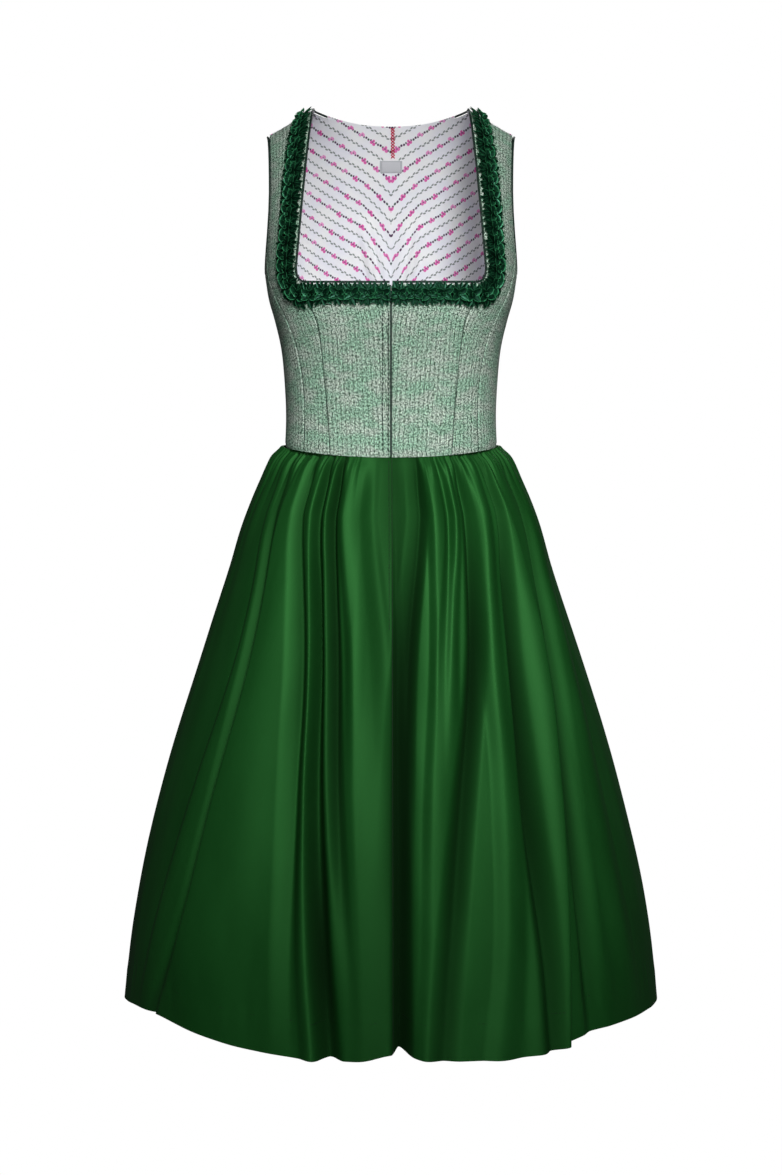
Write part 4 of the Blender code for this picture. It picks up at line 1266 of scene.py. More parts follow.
def skirt_relief(side_sign, pitch, drop):
    """The skirt's fine folds over the frame's, outwards, in mm."""
    waist = np.exp(-(drop / PLEAT_REACH) ** 2)
    pleat = PLEAT_HEIGHT * waist * np.abs(np.sin(math.pi * pitch * 2 + 0.6 * np.sin(pitch * 3.1)))
    smaller = np.abs(np.sin(math.pi * pitch * 3.4 + np.sin(pitch * 2.3)))
    smaller = PLEAT_CREASE * waist ** 2 * smaller
    gathered = np.where(pitch > 0, pleat + smaller, 0.0)
    long, short = DRIFT_HEIGHTS
    soft = (long * np.sin(pitch * 1.9 + drop / 71.0 + side_sign) * np.sin(drop / 93.0 + pitch / 3.0)
            + short * np.sin(pitch * 4.3 - drop / 47.0) * np.sin(drop / 39.0 + pitch))
    above = SKIRT_LENGTH - HEM_DEPTH - drop
    sewn = -HEM_SINK * np.exp(-(above / HEM_GROOVE) ** 2) * (0.75 + 0.25 * np.sin(pitch * 9.0))
    tuck = HEM_TUCK * np.exp(-np.abs(above) / HEM_TUCK_REACH)
    tuck = tuck * np.sin(pitch * 9.0 + 2.0 * np.sin(pitch * 2.7))
    folded = HEM_PROUD * np.clip(-above / 2.0, 0.0, 1.0)
    angle = gather_angle(side_sign, pitch)
    sunk = (CENTRE_SINK * np.exp(-((drop - CENTRE_SINK_DROP) / CENTRE_SINK_REACH) ** 2)
            * np.exp(-np.maximum(angle, 0.0) ** 4 / CENTRE_SINK_ANGLE ** 4))
    creases = crease_depth(side_sign * angle, drop) + sunk
    return gathered + soft * np.clip(drop / FOLD_START, 0.0, 1.0) + sewn + tuck + folded - creases


def fine_skirt(side_sign, pitch, drop, off=0.0):
    """A point of the finished satin's outer face, in mm, or a little off it."""
    return skirt(side_sign, pitch, drop, skirt_relief(side_sign, pitch, drop) + off)


class SkirtSettings(bpy.types.PropertyGroup):
    """Sizes and colours of the gathered skirt."""
    wall: number_setting("Wall", "Thickness of the satin in millimetres", SKIRT_WALL, 0.3, 3.0)
    front_columns: count_setting("Front columns", "Grid columns in each gather of the front",
                                 30, 4, 40)
    back_columns: count_setting("Back columns", "Grid columns in each gather of the back",
                                20, 4, 40)
    rows: count_setting("Rows", "Grid rows from waist to hem", 101, 30, 300)
    fullness: number_setting("Fullness", "Width of the cut over the width at the hem",
                             1.15, 1.0, 3.0)
    satin: colour_setting("Satin", "Colour of the satin", (0.0044, 0.047, 0.007))
    gleam: colour_setting("Gleam", "Tint of its reflections", (0.24, 1.0, 0.27))
    # painted shade: the colour that the satin darkens towards down in the hollows
    satin_painted_shade: colour_setting("Satin in the hollows", "Colour down in the folds",
                               (0.0003, 0.0030, 0.0006))
    satin_lit: colour_setting("Satin gleam", "Colour of its lighter threads",
                              (0.0090, 0.074, 0.013))


class DIRNDL_OT_skirt(bpy.types.Operator):
    """Make the four gathered panels of the skirt, with their hem"""
    bl_idname = "dirndl.skirt"
    bl_label = "Skirt"

    def execute(self, context):
        settings = context.scene.dirndl_skirt
        satin = satin_finish(settings)
        share = np.linspace(1.0, 0.0, settings.rows)
        drops = SKIRT_LENGTH * (0.35 * share + 0.65 * share ** 2)
        spans = (("front", -FLAT_PITCHES, FRONT_GATHERS, settings.front_columns),
                 ("back", FRONT_GATHERS, GATHERS, settings.back_columns))
        for label, sign in SIDES:
            for part, first, last, columns in spans:
                count = (last - first) * columns + 1
                if sign > 0 and part == "front":
                    first = first - UNDERLAP
                pitch, drop = np.meshgrid(np.linspace(first, last, count), drops)
                points = fine_skirt(sign, pitch, drop)
                if sign < 0:
                    points = points[:, ::-1]
                plane = cut_plane(points)
                plane[..., 0] = plane[0, :, 0] * settings.fullness
                piece = add_grid(f"satin_{part}_{label}", points, plane)
                # painted shade down in the hollows, kept on the piece as a point attribute
                shade = painted_hollow_shade(sign * gather_angle(sign, pitch), drop)
                if sign < 0:
                    shade = shade[:, ::-1]
                hollows = piece.data.attributes.new(PAINTED_SHADE_MAP, "FLOAT", "POINT")
                hollows.data.foreach_set("value", shade.ravel())
                finish_cloth(piece, settings.wall, satin, smooth=80.0)
                place(piece, "satin", f"skirt_{part}_{label}")
                declare_cut(points, settings.fullness)
        return {"FINISHED"}


# -------------------------------------------------------------------------- the ruche
COURSE_STEP = 1.5         # half the stretch over which the ribbon's course is measured


class Ribbon:
    """A strip of the bodice beside its neck edge, read by distance along, across and off it."""

    def __init__(self, angle, rise, middle, half):
        fine = np.linspace(0.0, len(angle) - 1.0, 700)
        angle, rise = resample(angle, fine), resample(rise, fine)
        self.half = half
        self.lines = [beside_edge(angle, rise, aside, 0.0)
                      for aside in (middle - half, middle, middle + half)]
        self.run = lengths_between(self.lines[1][None], 1)[0]
        self.length = self.run[-1]

    def point(self, along, across, off):
        along, across, off = np.broadcast_arrays(along, across, off)
        share = across / self.half
        weights = (share * (share - 1) / 2, 1 - share ** 2, share * (share + 1) / 2)
        slopes = (share - 0.5, -2 * share, share + 0.5)
        inside = np.clip(along, 0.0, self.length)
        spot = np.zeros(along.shape + (3,))
        sideways = np.zeros_like(spot)
        course = np.zeros_like(spot)
        centre = np.clip(along, COURSE_STEP, self.length - COURSE_STEP)
        for line, weight, slope in zip(self.lines, weights, slopes):
            here = np.stack([np.interp(inside, self.run, column) for column in line.T], axis=-1)
            ahead = np.stack([np.interp(centre + COURSE_STEP, self.run, column)
                              - np.interp(centre - COURSE_STEP, self.run, column)
                              for column in line.T], axis=-1)
            spot = spot + weight[..., None] * here
            course = course + weight[..., None] * ahead
            sideways = sideways + slope[..., None] * here
        ahead = course / np.linalg.norm(course, axis=-1, keepdims=True)
        spot = spot + (along - inside)[..., None] * ahead
        return spot + off[..., None] * normals(course, sideways)


RUCHE_SEED = 7
PINCH_JITTER = 0.5        # how far the pinches stray along the ruche, in mm,
TURN_JITTER = 5.0         # all the petals of one together, in degrees,
PETAL_JITTER = 4.0        # each petal alone, in degrees,
LENGTH_JITTER = 0.04      # and in length, as a share
FOOT_JITTER = (0.0, 0.6)  # how much higher a petal's foot may stand
TIP_JITTER = (-0.3, 0.9)  # and its tip
RUCHE_STRIP_WALL = 0.4
STRIP_SHARE = 0.74        # the strip under the petals is narrower than the ruche
STRIP_START = -1.4        # it starts just past the centre front
STRIP_OFF = 0.1           # and stands this far off the ruche's lowest folds
STRIP_CELLS = (16, 8)     # its grid cells in each pitch, and across it
PETAL_LENGTH = 10.0       # of the one petal that the others are copied from
PETAL_HALF = 3.0
RUCHE_PETALS = (
    # direction from the ruche's course in degrees, how far out it starts and how long it is,
    # half width, height at its foot and its tip, and how far its sides curl up, in mm;
    # there is one like it towards the other edge
    (52.0, 2.0, 14.2, 3.0, 1.5, 2.4, 0.8),
    (78.0, 2.0, 12.6, 3.0, 1.3, 1.0, 0.6),
    (102.0, 2.0, 12.6, 3.0, 1.4, 2.0, 0.7),
    (128.0, 2.0, 14.2, 3.0, 1.6, 1.0, 0.7),
    (33.0, 0.0, 10.8, 4.5, 2.4, 6.6, 1.9),
    (147.0, 0.0, 10.8, 4.5, 2.5, 6.0, 1.9),
)
PETAL_FOOT = 0.14         # share of a full oval that is cut off at a petal's foot
PETAL_ROUND = 0.85        # below 1 the oval is blunter
PETAL_TIP = 0.02          # least width, as a share of its widest
PETAL_CLEAR = 0.3         # no petal comes nearer to the strip than this
KNOT_PETAL = (-2.8, 5.6, 2.6, 4.6, 5.2, 1.5)   # over each pinch, in any direction
UPPER_TIP = 3.0           # petals whose tips stand higher than this are the upper ones
UPPER_PLACE = 20.0        # whose cut lies this far along the map


def petal_outline(share):
    """Width of a petal from its foot at 0 to its rounded tip at 1, as a share of its widest."""
    past_foot = PETAL_FOOT + (1.0 - PETAL_FOOT) * share
    return np.maximum(np.sin(math.pi * past_foot) ** PETAL_ROUND, PETAL_TIP)


def bent_petal(flat, petal):
    """Places of a flat petal's points along, across and off the ruche, in mm."""
    direction, start, length, half, foot, tip, curl = petal
    share = flat[:, 0] / PETAL_LENGTH
    aside = flat[:, 1] / (PETAL_HALF * petal_outline(share))
    out = start + share * length
    beside = flat[:, 1] * half / PETAL_HALF * (1.0 - 0.10 * aside ** 2 * curl)
    turn = math.radians(direction)
    curled = (0.5 + 0.6 * curl) * np.sin(math.pi * share) * (aside ** 2 - 0.35)
    height = foot + (tip - foot) * share + curled
    return (out * math.cos(turn) - beside * math.sin(turn),
            out * math.sin(turn) + beside * math.cos(turn),
            np.maximum(height, PETAL_CLEAR) + flat[:, 2])


def vertices(piece):
    """The places of a piece's vertices, in mm."""
    places = np.zeros(len(piece.data.vertices) * 3)
    piece.data.vertices.foreach_get("co", places)
    return places.reshape(-1, 3) / MM


def on_ruche(settings, ribbon, along, across, off):
    """Points of the dress for places on the ruche; it stays off the centre front."""
    front, side = settings.front_width, settings.side_width
    wide = np.interp(along, RUCHE_WIDENS, (front, side))
    shift = RUCHE_HALF * (1.0 - wide) + settings.inward
    points = ribbon.point(along, across * wide + shift, RUCHE_LIFT + off)
    points[..., 0] = np.maximum(points[..., 0], RUCHE_MIDDLE_GAP)
    return points


def petal_master(settings, taffeta, layer):
    """A flat petal, in mm, that the petals of a layer are copied from."""
    share, aside = np.meshgrid(np.linspace(0.0, 1.0, settings.turns),
                               np.linspace(-1.0, 1.0, settings.reaches))
    beside = aside * petal_outline(share) * PETAL_HALF
    flat = np.stack([share * PETAL_LENGTH, beside, share * 0.0], axis=-1)
    edge = np.maximum(np.abs(aside), share ** 3) * RUCHE_HALF
    plane = np.stack([share * PETAL_LENGTH + layer * UPPER_PLACE, edge], axis=-1)
    petal = add_grid("petal", flat, plane)
    finish_cloth(petal, RUCHE_STRIP_WALL, taffeta, smooth=50.0)
    return petal


def ruche_strip(settings, ribbon, count, taffeta):
    """The plain strip of ribbon under the petals."""
    lengthwise, crosswise = STRIP_CELLS
    along, across = np.meshgrid(np.linspace(STRIP_START, ribbon.length, count * lengthwise + 1),
                                np.linspace(-RUCHE_HALF, RUCHE_HALF, crosswise + 1) * STRIP_SHARE)
    points = on_ruche(settings, ribbon, along, across, STRIP_OFF)
    # its map sets it all at a petal's foot, so the taffeta gives it the ribbon's darker colour
    # throughout, as painted shade under the petals
    strip = add_grid("strip", points, np.stack([across * 0.0, across * 0.4], axis=-1))
    finish_cloth(strip, RUCHE_STRIP_WALL, taffeta, smooth=60.0)
    return strip


def pinch_petals(masters, rng):
    """Each petal round a pinch: the petal it is copied from and its bent places."""
    turned = rng.normal(0.0, TURN_JITTER)
    shapes = [(side * turn, *rest) for turn, *rest in RUCHE_PETALS for side in (1.0, -1.0)]
    shapes += [(rng.uniform(0.0, 360.0), *KNOT_PETAL) for _ in range(2)]
    for turn, start, length, half, foot, tip, curl in shapes:
        master = masters[1 if tip > UPPER_TIP else 0]
        petal = (turn + turned + rng.normal(0.0, PETAL_JITTER), start,
                 length * (1.0 + rng.normal(0.0, LENGTH_JITTER)), half,
                 foot + rng.uniform(*FOOT_JITTER), tip + rng.uniform(*TIP_JITTER), curl)
        yield master, bent_petal(vertices(master), petal)


class RucheSettings(bpy.types.PropertyGroup):
    """Sizes and colours of the pleated and pinched trim."""
    pitch: number_setting("Pitch", "Distance between pinched pleats in millimetres",
                          RUCHE_PITCH, 8.0, 40.0)
    front_width: number_setting("Front width", "Width below the neckline, as a share",
                                0.92, 0.5, 1.5)
    side_width: number_setting("Side width", "Width beside the neckline, as a share",
                               1.12, 0.5, 1.5)
    inward: number_setting("Inward", "How far its middle lies towards the neck edge, in millimetres",
                           1.3, -5.0, 5.0)
    turns: count_setting("Petal columns", "Grid columns from a petal's foot to its tip", 8, 4, 20)
    reaches: count_setting("Petal rows", "Grid rows across a petal", 7, 3, 21)
    # the ribbon's colour, kept where painted shade falls: at each petal's foot, on the lower petals and
    # on the strip
    ribbon: colour_setting("Ribbon", "Colour of the ribbon", (0.0005, 0.005, 0.0025))
    # painted light with random tone: the colour away from each petal's foot and on the upper petals
    ribbon_light_and_tone: colour_setting("Ribbon gleam", "Colour of its lighter threads",
                               (0.006, 0.050, 0.021))
    ribbon_gleam: colour_setting("Ribbon reflections", "Tint of its reflections", (0.3, 1.0, 0.65))
    # painted highlight along the petals' edges and tips
    ribbon_edge_highlight: colour_setting("Ribbon edge", "Colour of its cut edges", (0.055, 0.34, 0.14))


class DIRNDL_OT_ruche(bpy.types.Operator):
    """Make the ruche: box pleats pinched together, whose corners fold out like petals"""
    bl_idname = "dirndl.ruche"
    bl_label = "Ruche"

    def execute(self, context):
        settings = context.scene.dirndl_ruche
        taffeta = taffeta_finish(settings)
        ribbon = Ribbon(*front_neck_edge(RUCHE_END_RISES[-1]), -RUCHE_INSET, RUCHE_HALF)
        count = round(ribbon.length / settings.pitch)
        pitch = ribbon.length / count
        masters = [petal_master(settings, taffeta, layer) for layer in (0, 1)]
        for label, sign in SIDES:
            rng = np.random.default_rng(RUCHE_SEED + sign)
            pieces = [ruche_strip(settings, ribbon, count, taffeta)]
            for index in range(count):
                middle = (index + 0.5) * pitch + rng.normal(0.0, PINCH_JITTER)
                for master, bent in pinch_petals(masters, rng):
                    petal = master.copy()
                    petal.data = master.data.copy()
                    context.scene.collection.objects.link(petal)
                    points = on_ruche(settings, ribbon, middle + bent[0], bent[1], bent[2])
                    petal.data.vertices.foreach_set("co", (points * MM).ravel())
                    pieces.append(petal)
            piece = join_pieces(f"frog_mouth_ruche_{label}", pieces)
            if sign < 0:
                turn_faces(mirrored=True)
            piece.data.update()
            place(piece, "bottle", f"ruche_{label}")
        for petal in masters:
            bpy.data.objects.remove(petal)
        return {"FINISHED"}


# ------------------------------------------------------------- piping, zip and label
CORD_SMOOTH = 50.0        # edges sharper than this stay sharp on cords and on the zip


def cord_along(name, runs, radius, finish, sides=3, closed=False):
    """Round cords through runs of points in mm, as one mesh."""
    curve = bpy.data.curves.new(name, "CURVE")
    curve.dimensions = "3D"
    for points in runs:
        line = curve.splines.new("POLY")
        line.points.add(len(points) - 1)
        places = np.concatenate([points * MM, np.ones((len(points), 1))], axis=1)
        line.points.foreach_set("co", places.ravel())
        line.use_cyclic_u = closed
    curve.bevel_depth = radius * MM
    curve.bevel_resolution = sides
    curve.use_fill_caps = True
    curve.materials.append(finish)
    piece = bpy.data.objects.new(name, curve)
    bpy.context.scene.collection.objects.link(piece)
    bpy.ops.object.select_all(action="DESELECT")
    piece.select_set(True)
    bpy.context.view_layer.objects.active = piece
    bpy.ops.object.convert(target="MESH")
    soften(CORD_SMOOTH)
    return piece


TOOTH_WIDTH = 1.3         # across the zip
TOOTH_SHARE = 0.75        # a tooth's height as a share of its pitch
TOOTH_ASIDE = 0.15        # the teeth stand this far to the left and right in turn
TOOTH_ROUND = 0.22
SLIDER_WIDTH = 3.4
SLIDER_DEPTH = 1.6
SLIDER_ROUND = 0.5


def rounded_block(middle, size, rounding, segments, finish):
    """A block with rounded edges, its place and size in metres."""
    bpy.ops.object.select_all(action="DESELECT")
    bpy.ops.mesh.primitive_cube_add(size=1.0, location=middle, scale=size)
    bpy.ops.object.transform_apply(location=True, rotation=True, scale=True)
    block = bpy.context.object
    block.data.materials.append(finish)
    apply_modifier(block, "BEVEL", width=rounding * MM, segments=segments)
    return block


class TrimSettings(bpy.types.PropertyGroup):
    """Sizes and colours of the piping, the zip, the label and the sewing thread."""
    piping: colour_setting("Piping", "Colour of the piping", (0.006, 0.018, 0.012))
    zip_tape: colour_setting("Zip tape", "Colour of the zip's tape", (0.01, 0.03, 0.02))
    zip_teeth: colour_setting("Zip teeth", "Colour of the zip's teeth", (0.015, 0.035, 0.028))
    seam_depth: number_setting("Seam depth", "Depth of the threads in the bodice's seams, in millimetres",
                               0.95, 0.0, 3.0)
    tooth_pitch: number_setting("Tooth pitch", "Distance between teeth in millimetres",
                                1.3, 0.6, 5.0)
    label: colour_setting("Label", "Colour of the label", (0.74, 0.75, 0.78))
    label_dark: colour_setting("Label border", "Colour of its darker threads", (0.26, 0.27, 0.30))
    green_thread: colour_setting("Green thread", "Colour of the skirt's thread",
                                 (0.001, 0.010, 0.002))
    tweed_thread: colour_setting("Tweed thread", "Colour of the bodice's thread",
                                 (0.006, 0.020, 0.012))
    rose_thread: colour_setting("Rose thread", "Colour of the cross stitches", (0.36, 0.010, 0.05))


class DIRNDL_OT_piping(bpy.types.Operator):
    """Make the corded edges of the neckline and the armholes"""
    bl_idname = "dirndl.piping"
    bl_label = "Piping"

    def execute(self, context):
        settings = context.scene.dirndl_trim
        finish = cord_finish("piping_cord", settings.piping, 1.8)
        aside = PIPING_RADIUS + 2 * SEAM_GAP
        edges = (("armhole", armhole_edge(), True), ("neck", neck_edge(), False))
        for name, (angle, rise), closed in edges:
            path = beside_edge(angle, rise, aside, -BODICE_WALL / 2)
            for label, sign in SIDES:
                piece = cord_along(f"{name}_cord_{label}", [path * (sign, 1, 1)], PIPING_RADIUS,
                                   finish, closed=closed)
                place(piece, "piping", f"{name}_piping_{label}")
        return {"FINISHED"}


class DIRNDL_OT_zip(bpy.types.Operator):
    """Make the front zip: its tape, its row of teeth and its slider"""
    bl_idname = "dirndl.zip"
    bl_label = "Zip"

    def execute(self, context):
        settings = context.scene.dirndl_trim
        tape_finish = cord_finish("zip_tape_weave", settings.zip_tape, 0.8)
        tooth_finish = Finish("zip_nylon", Base_Color=settings.zip_teeth, Roughness=0.35).material
        angles = np.degrees(np.linspace(-ZIP_TAPE_HALF, ZIP_TAPE_HALF, 9) / BUST_HALF)
        angle, rise = np.meshgrid(angles, np.linspace(ZIP_LOW, ZIP_HIGH, 60))
        points = bodice(angle, rise, -(BODICE_WALL + 2 * SEAM_GAP))
        tape = add_grid("zip_tape_fine", points, cut_plane(points))
        finish_cloth(tape, ZIP_TAPE_WALL, tape_finish)
        place(tape, "zip", "zip_tape")
        declare_cut(points)

        rises = np.linspace(ZIP_LOW, ZIP_HIGH, 200)
        line = bodice(np.zeros(len(rises)), rises, -SEAM_GAP - ZIP_CHAIN_WALL / 2)
        size = np.array((TOOTH_WIDTH, ZIP_CHAIN_WALL, TOOTH_SHARE * settings.tooth_pitch))
        teeth = []
        for index, spot in enumerate(resample(line, spaced(line, settings.tooth_pitch))):
            aside = TOOTH_ASIDE if index % 2 else -TOOTH_ASIDE
            middle = (spot + (aside, 0.0, 0.0)) * MM
            teeth.append(rounded_block(middle, size * MM, TOOTH_ROUND, 2, tooth_finish))
        chain = join_pieces("zip_teeth", teeth)
        soften(CORD_SMOOTH)
        place(chain, "zip", "zip_chain")

        low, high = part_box("zip_slider")
        size = (SLIDER_WIDTH * MM, SLIDER_DEPTH * MM, (high - low).z)
        slider = rounded_block((low + high) / 2, size, SLIDER_ROUND, 3, tooth_finish)
        slider.name = slider.data.name = "zip_slider_body"
        soften(CORD_SMOOTH)
        place(slider, "zip", "zip_slider")
        return {"FINISHED"}


class DIRNDL_OT_label(bpy.types.Operator):
    """Make the bare woven label at the back of the neck"""
    bl_idname = "dirndl.label"
    bl_label = "Label"

    def execute(self, context):
        settings = context.scene.dirndl_trim
        depth = BODICE_WALL + LINING_GAP + LINING_WALL + LABEL_GAP + LABEL_WALL
        width, height = LABEL_SIZE
        aside, level = np.meshgrid(np.linspace(width / 2, -width / 2, 41),
                                   np.linspace(-height / 2, height / 2, 21))
        sewn = np.clip((np.abs(aside) - width / 2 + LABEL_HELD) / LABEL_HELD, 0.0, 1.0)
        belly = LABEL_BELLY * (1.0 - sewn) * np.sin((level / height + 0.5) * math.pi)
        angle, rise = back_place(aside, level + LABEL_HEIGHT)
        points = bodice(angle, rise, -(depth + belly - LABEL_SINK * sewn))
        piece = add_grid("bare_label", points, np.stack([-aside, level], axis=-1))
        turn_faces()
        finish_cloth(piece, LABEL_WALL, label_finish(settings))
        place(piece, "label", "label")
        declare_cut(points)
        return {"FINISHED"}


# ----------------------------------------------------------------------- the stitches
TOPSTITCH_ASIDES = (9.5, 3.0)   # rows of stitches beside the right front edge
TOPSTITCH_RISES = (NECK_FLOOR - 0.16, -0.985)
TOPSTITCH_STEP = 1.9
TOPSTITCH_OFF = 0.15      # they stand this far off the tweed
PANEL_SEAM_ENDS = (-0.99, -0.03)   # the seams' threads start at this rise and end below the top
PLACKET_ASIDE = 3.0       # a row of stitches beside the skirt's front seam
PLACKET_DROPS = (4.0, 190.0)   # where it starts and ends
PLACKET_STEP = 1.1
HEM_STEP = 1.6
HEM_START = 0.3           # the hem's stitches start this share of a gather from the front seam
HEM_END = 0.02            # and end this share of one before the centre back
SATIN_STITCH_OFF = 0.12   # both stand this far off the satin
SEAM_THREAD_OFF = 0.3     # and the front seam's thread this far
SEAM_SIDE = 0.02          # which lies this share of a gather from the left front's edge
CROSS_ASIDE = 2.3         # middle of the column of cross stitches at the centre back
CROSS_SIZE = (4.6, 3.5)
CROSS_OVERLAP = 1.1       # each is taller than its row by this share
CROSS_HEIGHTS = (-49.0, -17.0)
CROSS_OFF = 0.15          # they stand this far off the lining,
CROSS_ARCH = 0.25         # and this much further in their middle


def stitched(line, step):
    """Runs of points for the stitches of a seam, each two steps long and a step apart."""
    spots = resample(line, spaced(line, step))
    return [spots[index:index + 3] for index in range(0, len(spots) - 2, 3)]


def topstitch_runs():
    """The rows of stitches beside the right front edge."""
    rise = np.linspace(*TOPSTITCH_RISES, 160)
    runs = []
    for aside in TOPSTITCH_ASIDES:
        angle = -np.degrees(np.arcsin(aside / half_width(rise)))
        runs += stitched(bodice(angle, rise, TOPSTITCH_OFF), TOPSTITCH_STEP)
    return runs


def panel_seam_runs(depth):
    """The threads deep in the seams between the bodice's panels."""
    seams = ((FRONT_PRINCESS, NECK_FLOOR), (SIDE_FRONT_SEAM, 0.0), (SIDE_BACK_SEAM, 0.0),
             (BACK_PRINCESS, BACK_JOIN))
    low, short = PANEL_SEAM_ENDS
    runs = []
    for table, top in seams:
        rise = np.linspace(low, top + short, 90)
        line = bodice(seam(table, rise), rise, -depth)
        runs += [line, line * (-1.0, 1.0, 1.0)]
    return runs


def skirt_runs():
    """The skirt's placket stitches, its hem stitches and the thread of its front seam."""
    drop = np.linspace(*PLACKET_DROPS, 200)
    drops, widths, *_ = np.array(SKIRT_SECTIONS).T
    pitch_width = np.radians(FLAT_RIGHT / FLAT_PITCHES) * read(drops, widths, drop)
    pitch = PLACKET_ASIDE / pitch_width - FLAT_PITCHES
    runs = stitched(fine_skirt(-1.0, pitch, drop, SATIN_STITCH_OFF), PLACKET_STEP)
    for _, sign in SIDES:
        pitch = np.linspace(HEM_START - FLAT_PITCHES, GATHERS - HEM_END, 1600)
        drop = np.full_like(pitch, SKIRT_LENGTH - HEM_DEPTH)
        runs += stitched(fine_skirt(sign, pitch, drop, SATIN_STITCH_OFF), HEM_STEP)
    drop = np.linspace(0.0, SKIRT_LENGTH, 240)
    pitch = np.full_like(drop, SEAM_SIDE - FLAT_PITCHES)
    return runs + [fine_skirt(1.0, pitch, drop, SEAM_THREAD_OFF)]


def cross_runs():
    """The column of cross stitches at the centre back, on the lining."""
    across, tall = CROSS_SIZE
    share = np.linspace(-0.5, 0.5, 5)
    runs = []
    for level in np.arange(*CROSS_HEIGHTS, tall):
        for lean in (-1.0, 1.0):
            height = level + tall * CROSS_OVERLAP * (lean * share + 0.5)
            angle, rise = back_place(CROSS_ASIDE + across * share, height)
            relief = lining_relief(angle, bodice(angle, rise))
            depth = BODICE_WALL + LINING_GAP + LINING_WALL + relief
            arch = CROSS_ARCH * (1.0 - 4 * share ** 2)
            runs.append(bodice(angle, rise, -depth - CROSS_OFF - arch))
    return runs


class DIRNDL_OT_stitches(bpy.types.Operator):
    """Make the visible stitches: front edge, skirt seam and hem, and cross stitches at the back"""
    bl_idname = "dirndl.stitches"
    bl_label = "Stitches"

    def execute(self, context):
        settings = context.scene.dirndl_trim
        tweed = cord_finish("tweed_thread", settings.tweed_thread, 0.6)
        green = cord_finish("green_thread", settings.green_thread, 0.6)
        rose = cord_finish("rose_thread", settings.rose_thread, 0.8)
        threads = (
            # name, runs of points, radius, thread, roundness, slot
            ("topstitch", topstitch_runs(), 0.62, tweed, 1, "piping"),
            ("panel_seams", panel_seam_runs(settings.seam_depth), 0.42, tweed, 1, "piping"),
            ("skirt_stitches", skirt_runs(), 0.36, green, 1, "satin"),
            ("cross_stitches", cross_runs(), 0.6, rose, 2, "print"),
        )
        for name, runs, radius, thread, sides, slot in threads:
            place(cord_along(name, runs, radius, thread, sides), slot)
        return {"FINISHED"}


# --------------------------------------------------------------------------- the stage
class StageSettings(bpy.types.PropertyGroup):
    """The floor, the lights and the camera."""
    floor: colour_setting("Floor", "Colour of the floor", (1.0, 1.0, 1.0))
    floor_drop: number_setting("Floor drop", "How far the floor lies under the hem",
                               0.45, 0.0, 2.0, unit="LENGTH")
    key: number_setting("Key light", "Power of the main soft light in watts", 390.0, 0.0, 3000.0)
    key_cone: number_setting("Key cone", "Angle of the main light's cone",
                             math.radians(29.0), 0.1, 3.0, subtype="ANGLE")
    fill: number_setting("Fill light", "Power of each side light in watts", 0.8, 0.0, 1000.0)
    front: number_setting("Front light", "Power of the wide light beside the camera in watts",
                          17.0, 0.0, 1000.0)
    back: number_setting("Back light", "Power of the light behind in watts", 40.0, 0.0, 1000.0)
    sky: number_setting("Sky", "Strength of the light from all round", 0.04, 0.0, 3.0)
    lens: number_setting("Lens", "Focal length in millimetres", 84.24, 20.0, 300.0)


LIGHTS = (
    # name, the setting of its power, its size in metres, its place, and what it faces
    ("fill_left", "fill", 1.4, (2.4, -1.4, 0.2), (0.0, 0.0, -0.5)),
    ("fill_right", "fill", 1.4, (-2.4, -1.4, 0.2), (0.0, 0.0, -0.5)),
    ("front", "front", 2.0, (0.0, -3.4, -0.1), (0.0, 0.0, -0.4)),
    ("back", "back", 1.6, (0.4, 2.8, 1.2), (0.0, 0.0, -0.5)),
)
KEY_PLACE = ((0.40, -2.85, 1.2), (0.0, 0.0, -0.50))   # where it stands and what it faces
KEY_SIZE = 0.4
CAMERA_PLACE = ((0.0, -3.2, -0.216), (0.0, 0.0, -0.551))
SENSOR = 36.0             # height of the camera's sensor in millimetres
FLOOR_SIZE = 60.0
SKY_COLOUR = (0.95, 0.97, 1.0)


def aimed(name, data, spot, target):
    """Add a light or the camera at a place, facing a point."""
    piece = bpy.data.objects.new(name, data)
    bpy.context.scene.collection.objects.link(piece)
    piece.location = spot
    step = [goal - here for goal, here in zip(target, piece.location)]
    flat = math.hypot(step[0], step[1])
    piece.rotation_euler = (math.atan2(flat, -step[2]), 0.0, math.atan2(-step[0], step[1]))
    return piece


def set_up_sky(scene, strength):
    """A white backdrop for the camera, and a faint light from all round."""
    scene.world = bpy.data.worlds.new("studio")
    scene.world.use_nodes = True
    scene.world.node_tree.nodes.clear()
    sky = Nodes(scene.world.node_tree)
    seen = sky.node("ShaderNodeBackground", {}, {"Color": (1.0, 1.0, 1.0), "Strength": 1.0})
    lit = sky.node("ShaderNodeBackground", {}, {"Color": SKY_COLOUR, "Strength": strength})
    camera_ray = sky.node("ShaderNodeLightPath", {}, (), "Is Camera Ray")
    shown = sky.node("ShaderNodeMixShader", {}, (camera_ray, lit, seen))
    sky.node("ShaderNodeOutputWorld", {}, (shown,))


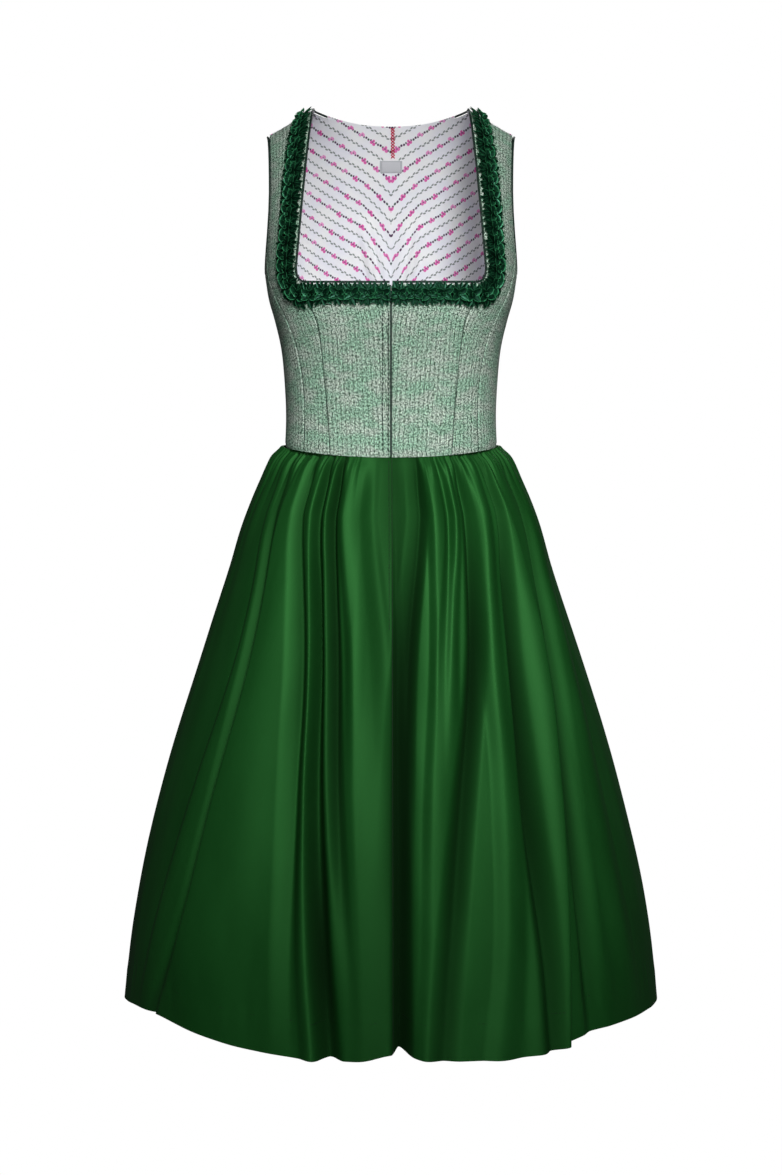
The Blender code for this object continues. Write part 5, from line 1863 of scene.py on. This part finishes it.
class DIRNDL_OT_stage(bpy.types.Operator):
    """Set up the white floor and backdrop, the soft lights and the camera"""
    bl_idname = "dirndl.stage"
    bl_label = "Stage"

    def execute(self, context):
        settings = context.scene.dirndl_stage
        scene = context.scene
        scene.view_settings.view_transform = "Standard"
        set_up_sky(scene, settings.sky)

        bpy.ops.object.select_all(action="DESELECT")
        under = FRAME_BOX[0][2] - settings.floor_drop
        bpy.ops.mesh.primitive_plane_add(size=FLOOR_SIZE, location=(0.0, 0.0, under))
        floor = context.object
        floor.name = "floor"
        paint = Finish("floor_paint", Base_Color=(0.0, 0.0, 0.0), Roughness=1.0,
                       Specular_IOR_Level=0.0, Emission_Color=settings.floor,
                       Emission_Strength=1.0)
        floor.data.materials.append(paint.material)
        floor.visible_diffuse = floor.visible_glossy = False

        for name, power, size, spot, target in LIGHTS:
            light = bpy.data.lights.new(name, "AREA")
            light.energy = getattr(settings, power)
            light.size = size
            aimed(name, light, spot, target)
        key = bpy.data.lights.new("key", "SPOT")
        key.energy = settings.key
        key.shadow_soft_size = KEY_SIZE
        key.spot_size = settings.key_cone
        key.spot_blend = 1.0
        aimed("key", key, *KEY_PLACE)

        view = bpy.data.cameras.new("camera")
        view.sensor_fit = "VERTICAL"
        view.sensor_height = SENSOR
        view.lens = settings.lens
        scene.camera = aimed("camera", view, *CAMERA_PLACE)
        return {"FINISHED"}


class DIRNDL_PT_panel(bpy.types.Panel):
    """Lists the pieces of the dress with their settings"""
    bl_label = "Dirndl dress"
    bl_idname = "DIRNDL_PT_panel"
    bl_space_type = "VIEW_3D"
    bl_region_type = "UI"
    bl_category = "Dirndl"

    def draw(self, context):
        for operator in OPERATORS:
            self.layout.operator(operator.bl_idname)
        for name in SETTINGS:
            box = self.layout.box()
            settings = getattr(context.scene, name)
            for prop in settings.bl_rna.properties:
                if prop.identifier not in ("name", "rna_type"):
                    box.prop(settings, prop.identifier)


SETTINGS = {
    "dirndl_bodice": BodiceSettings,
    "dirndl_lining": LiningSettings,
    "dirndl_skirt": SkirtSettings,
    "dirndl_ruche": RucheSettings,
    "dirndl_trim": TrimSettings,
    "dirndl_stage": StageSettings,
}
OPERATORS = (DIRNDL_OT_bodice, DIRNDL_OT_lining, DIRNDL_OT_skirt, DIRNDL_OT_ruche, DIRNDL_OT_piping,
             DIRNDL_OT_zip, DIRNDL_OT_label, DIRNDL_OT_stitches, DIRNDL_OT_stage)


def register():
    for kind in (*SETTINGS.values(), *OPERATORS, DIRNDL_PT_panel):
        bpy.utils.register_class(kind)
    for name, kind in SETTINGS.items():
        setattr(bpy.types.Scene, name, PointerProperty(type=kind))


def unregister():
    for name in SETTINGS:
        delattr(bpy.types.Scene, name)
    for kind in (DIRNDL_PT_panel, *reversed(OPERATORS), *SETTINGS.values()):
        bpy.utils.unregister_class(kind)


def main():
    register()
    for operator in OPERATORS:
        getattr(bpy.ops.dirndl, operator.bl_idname.split(".")[1])()


if __name__ == "__main__":
    main()
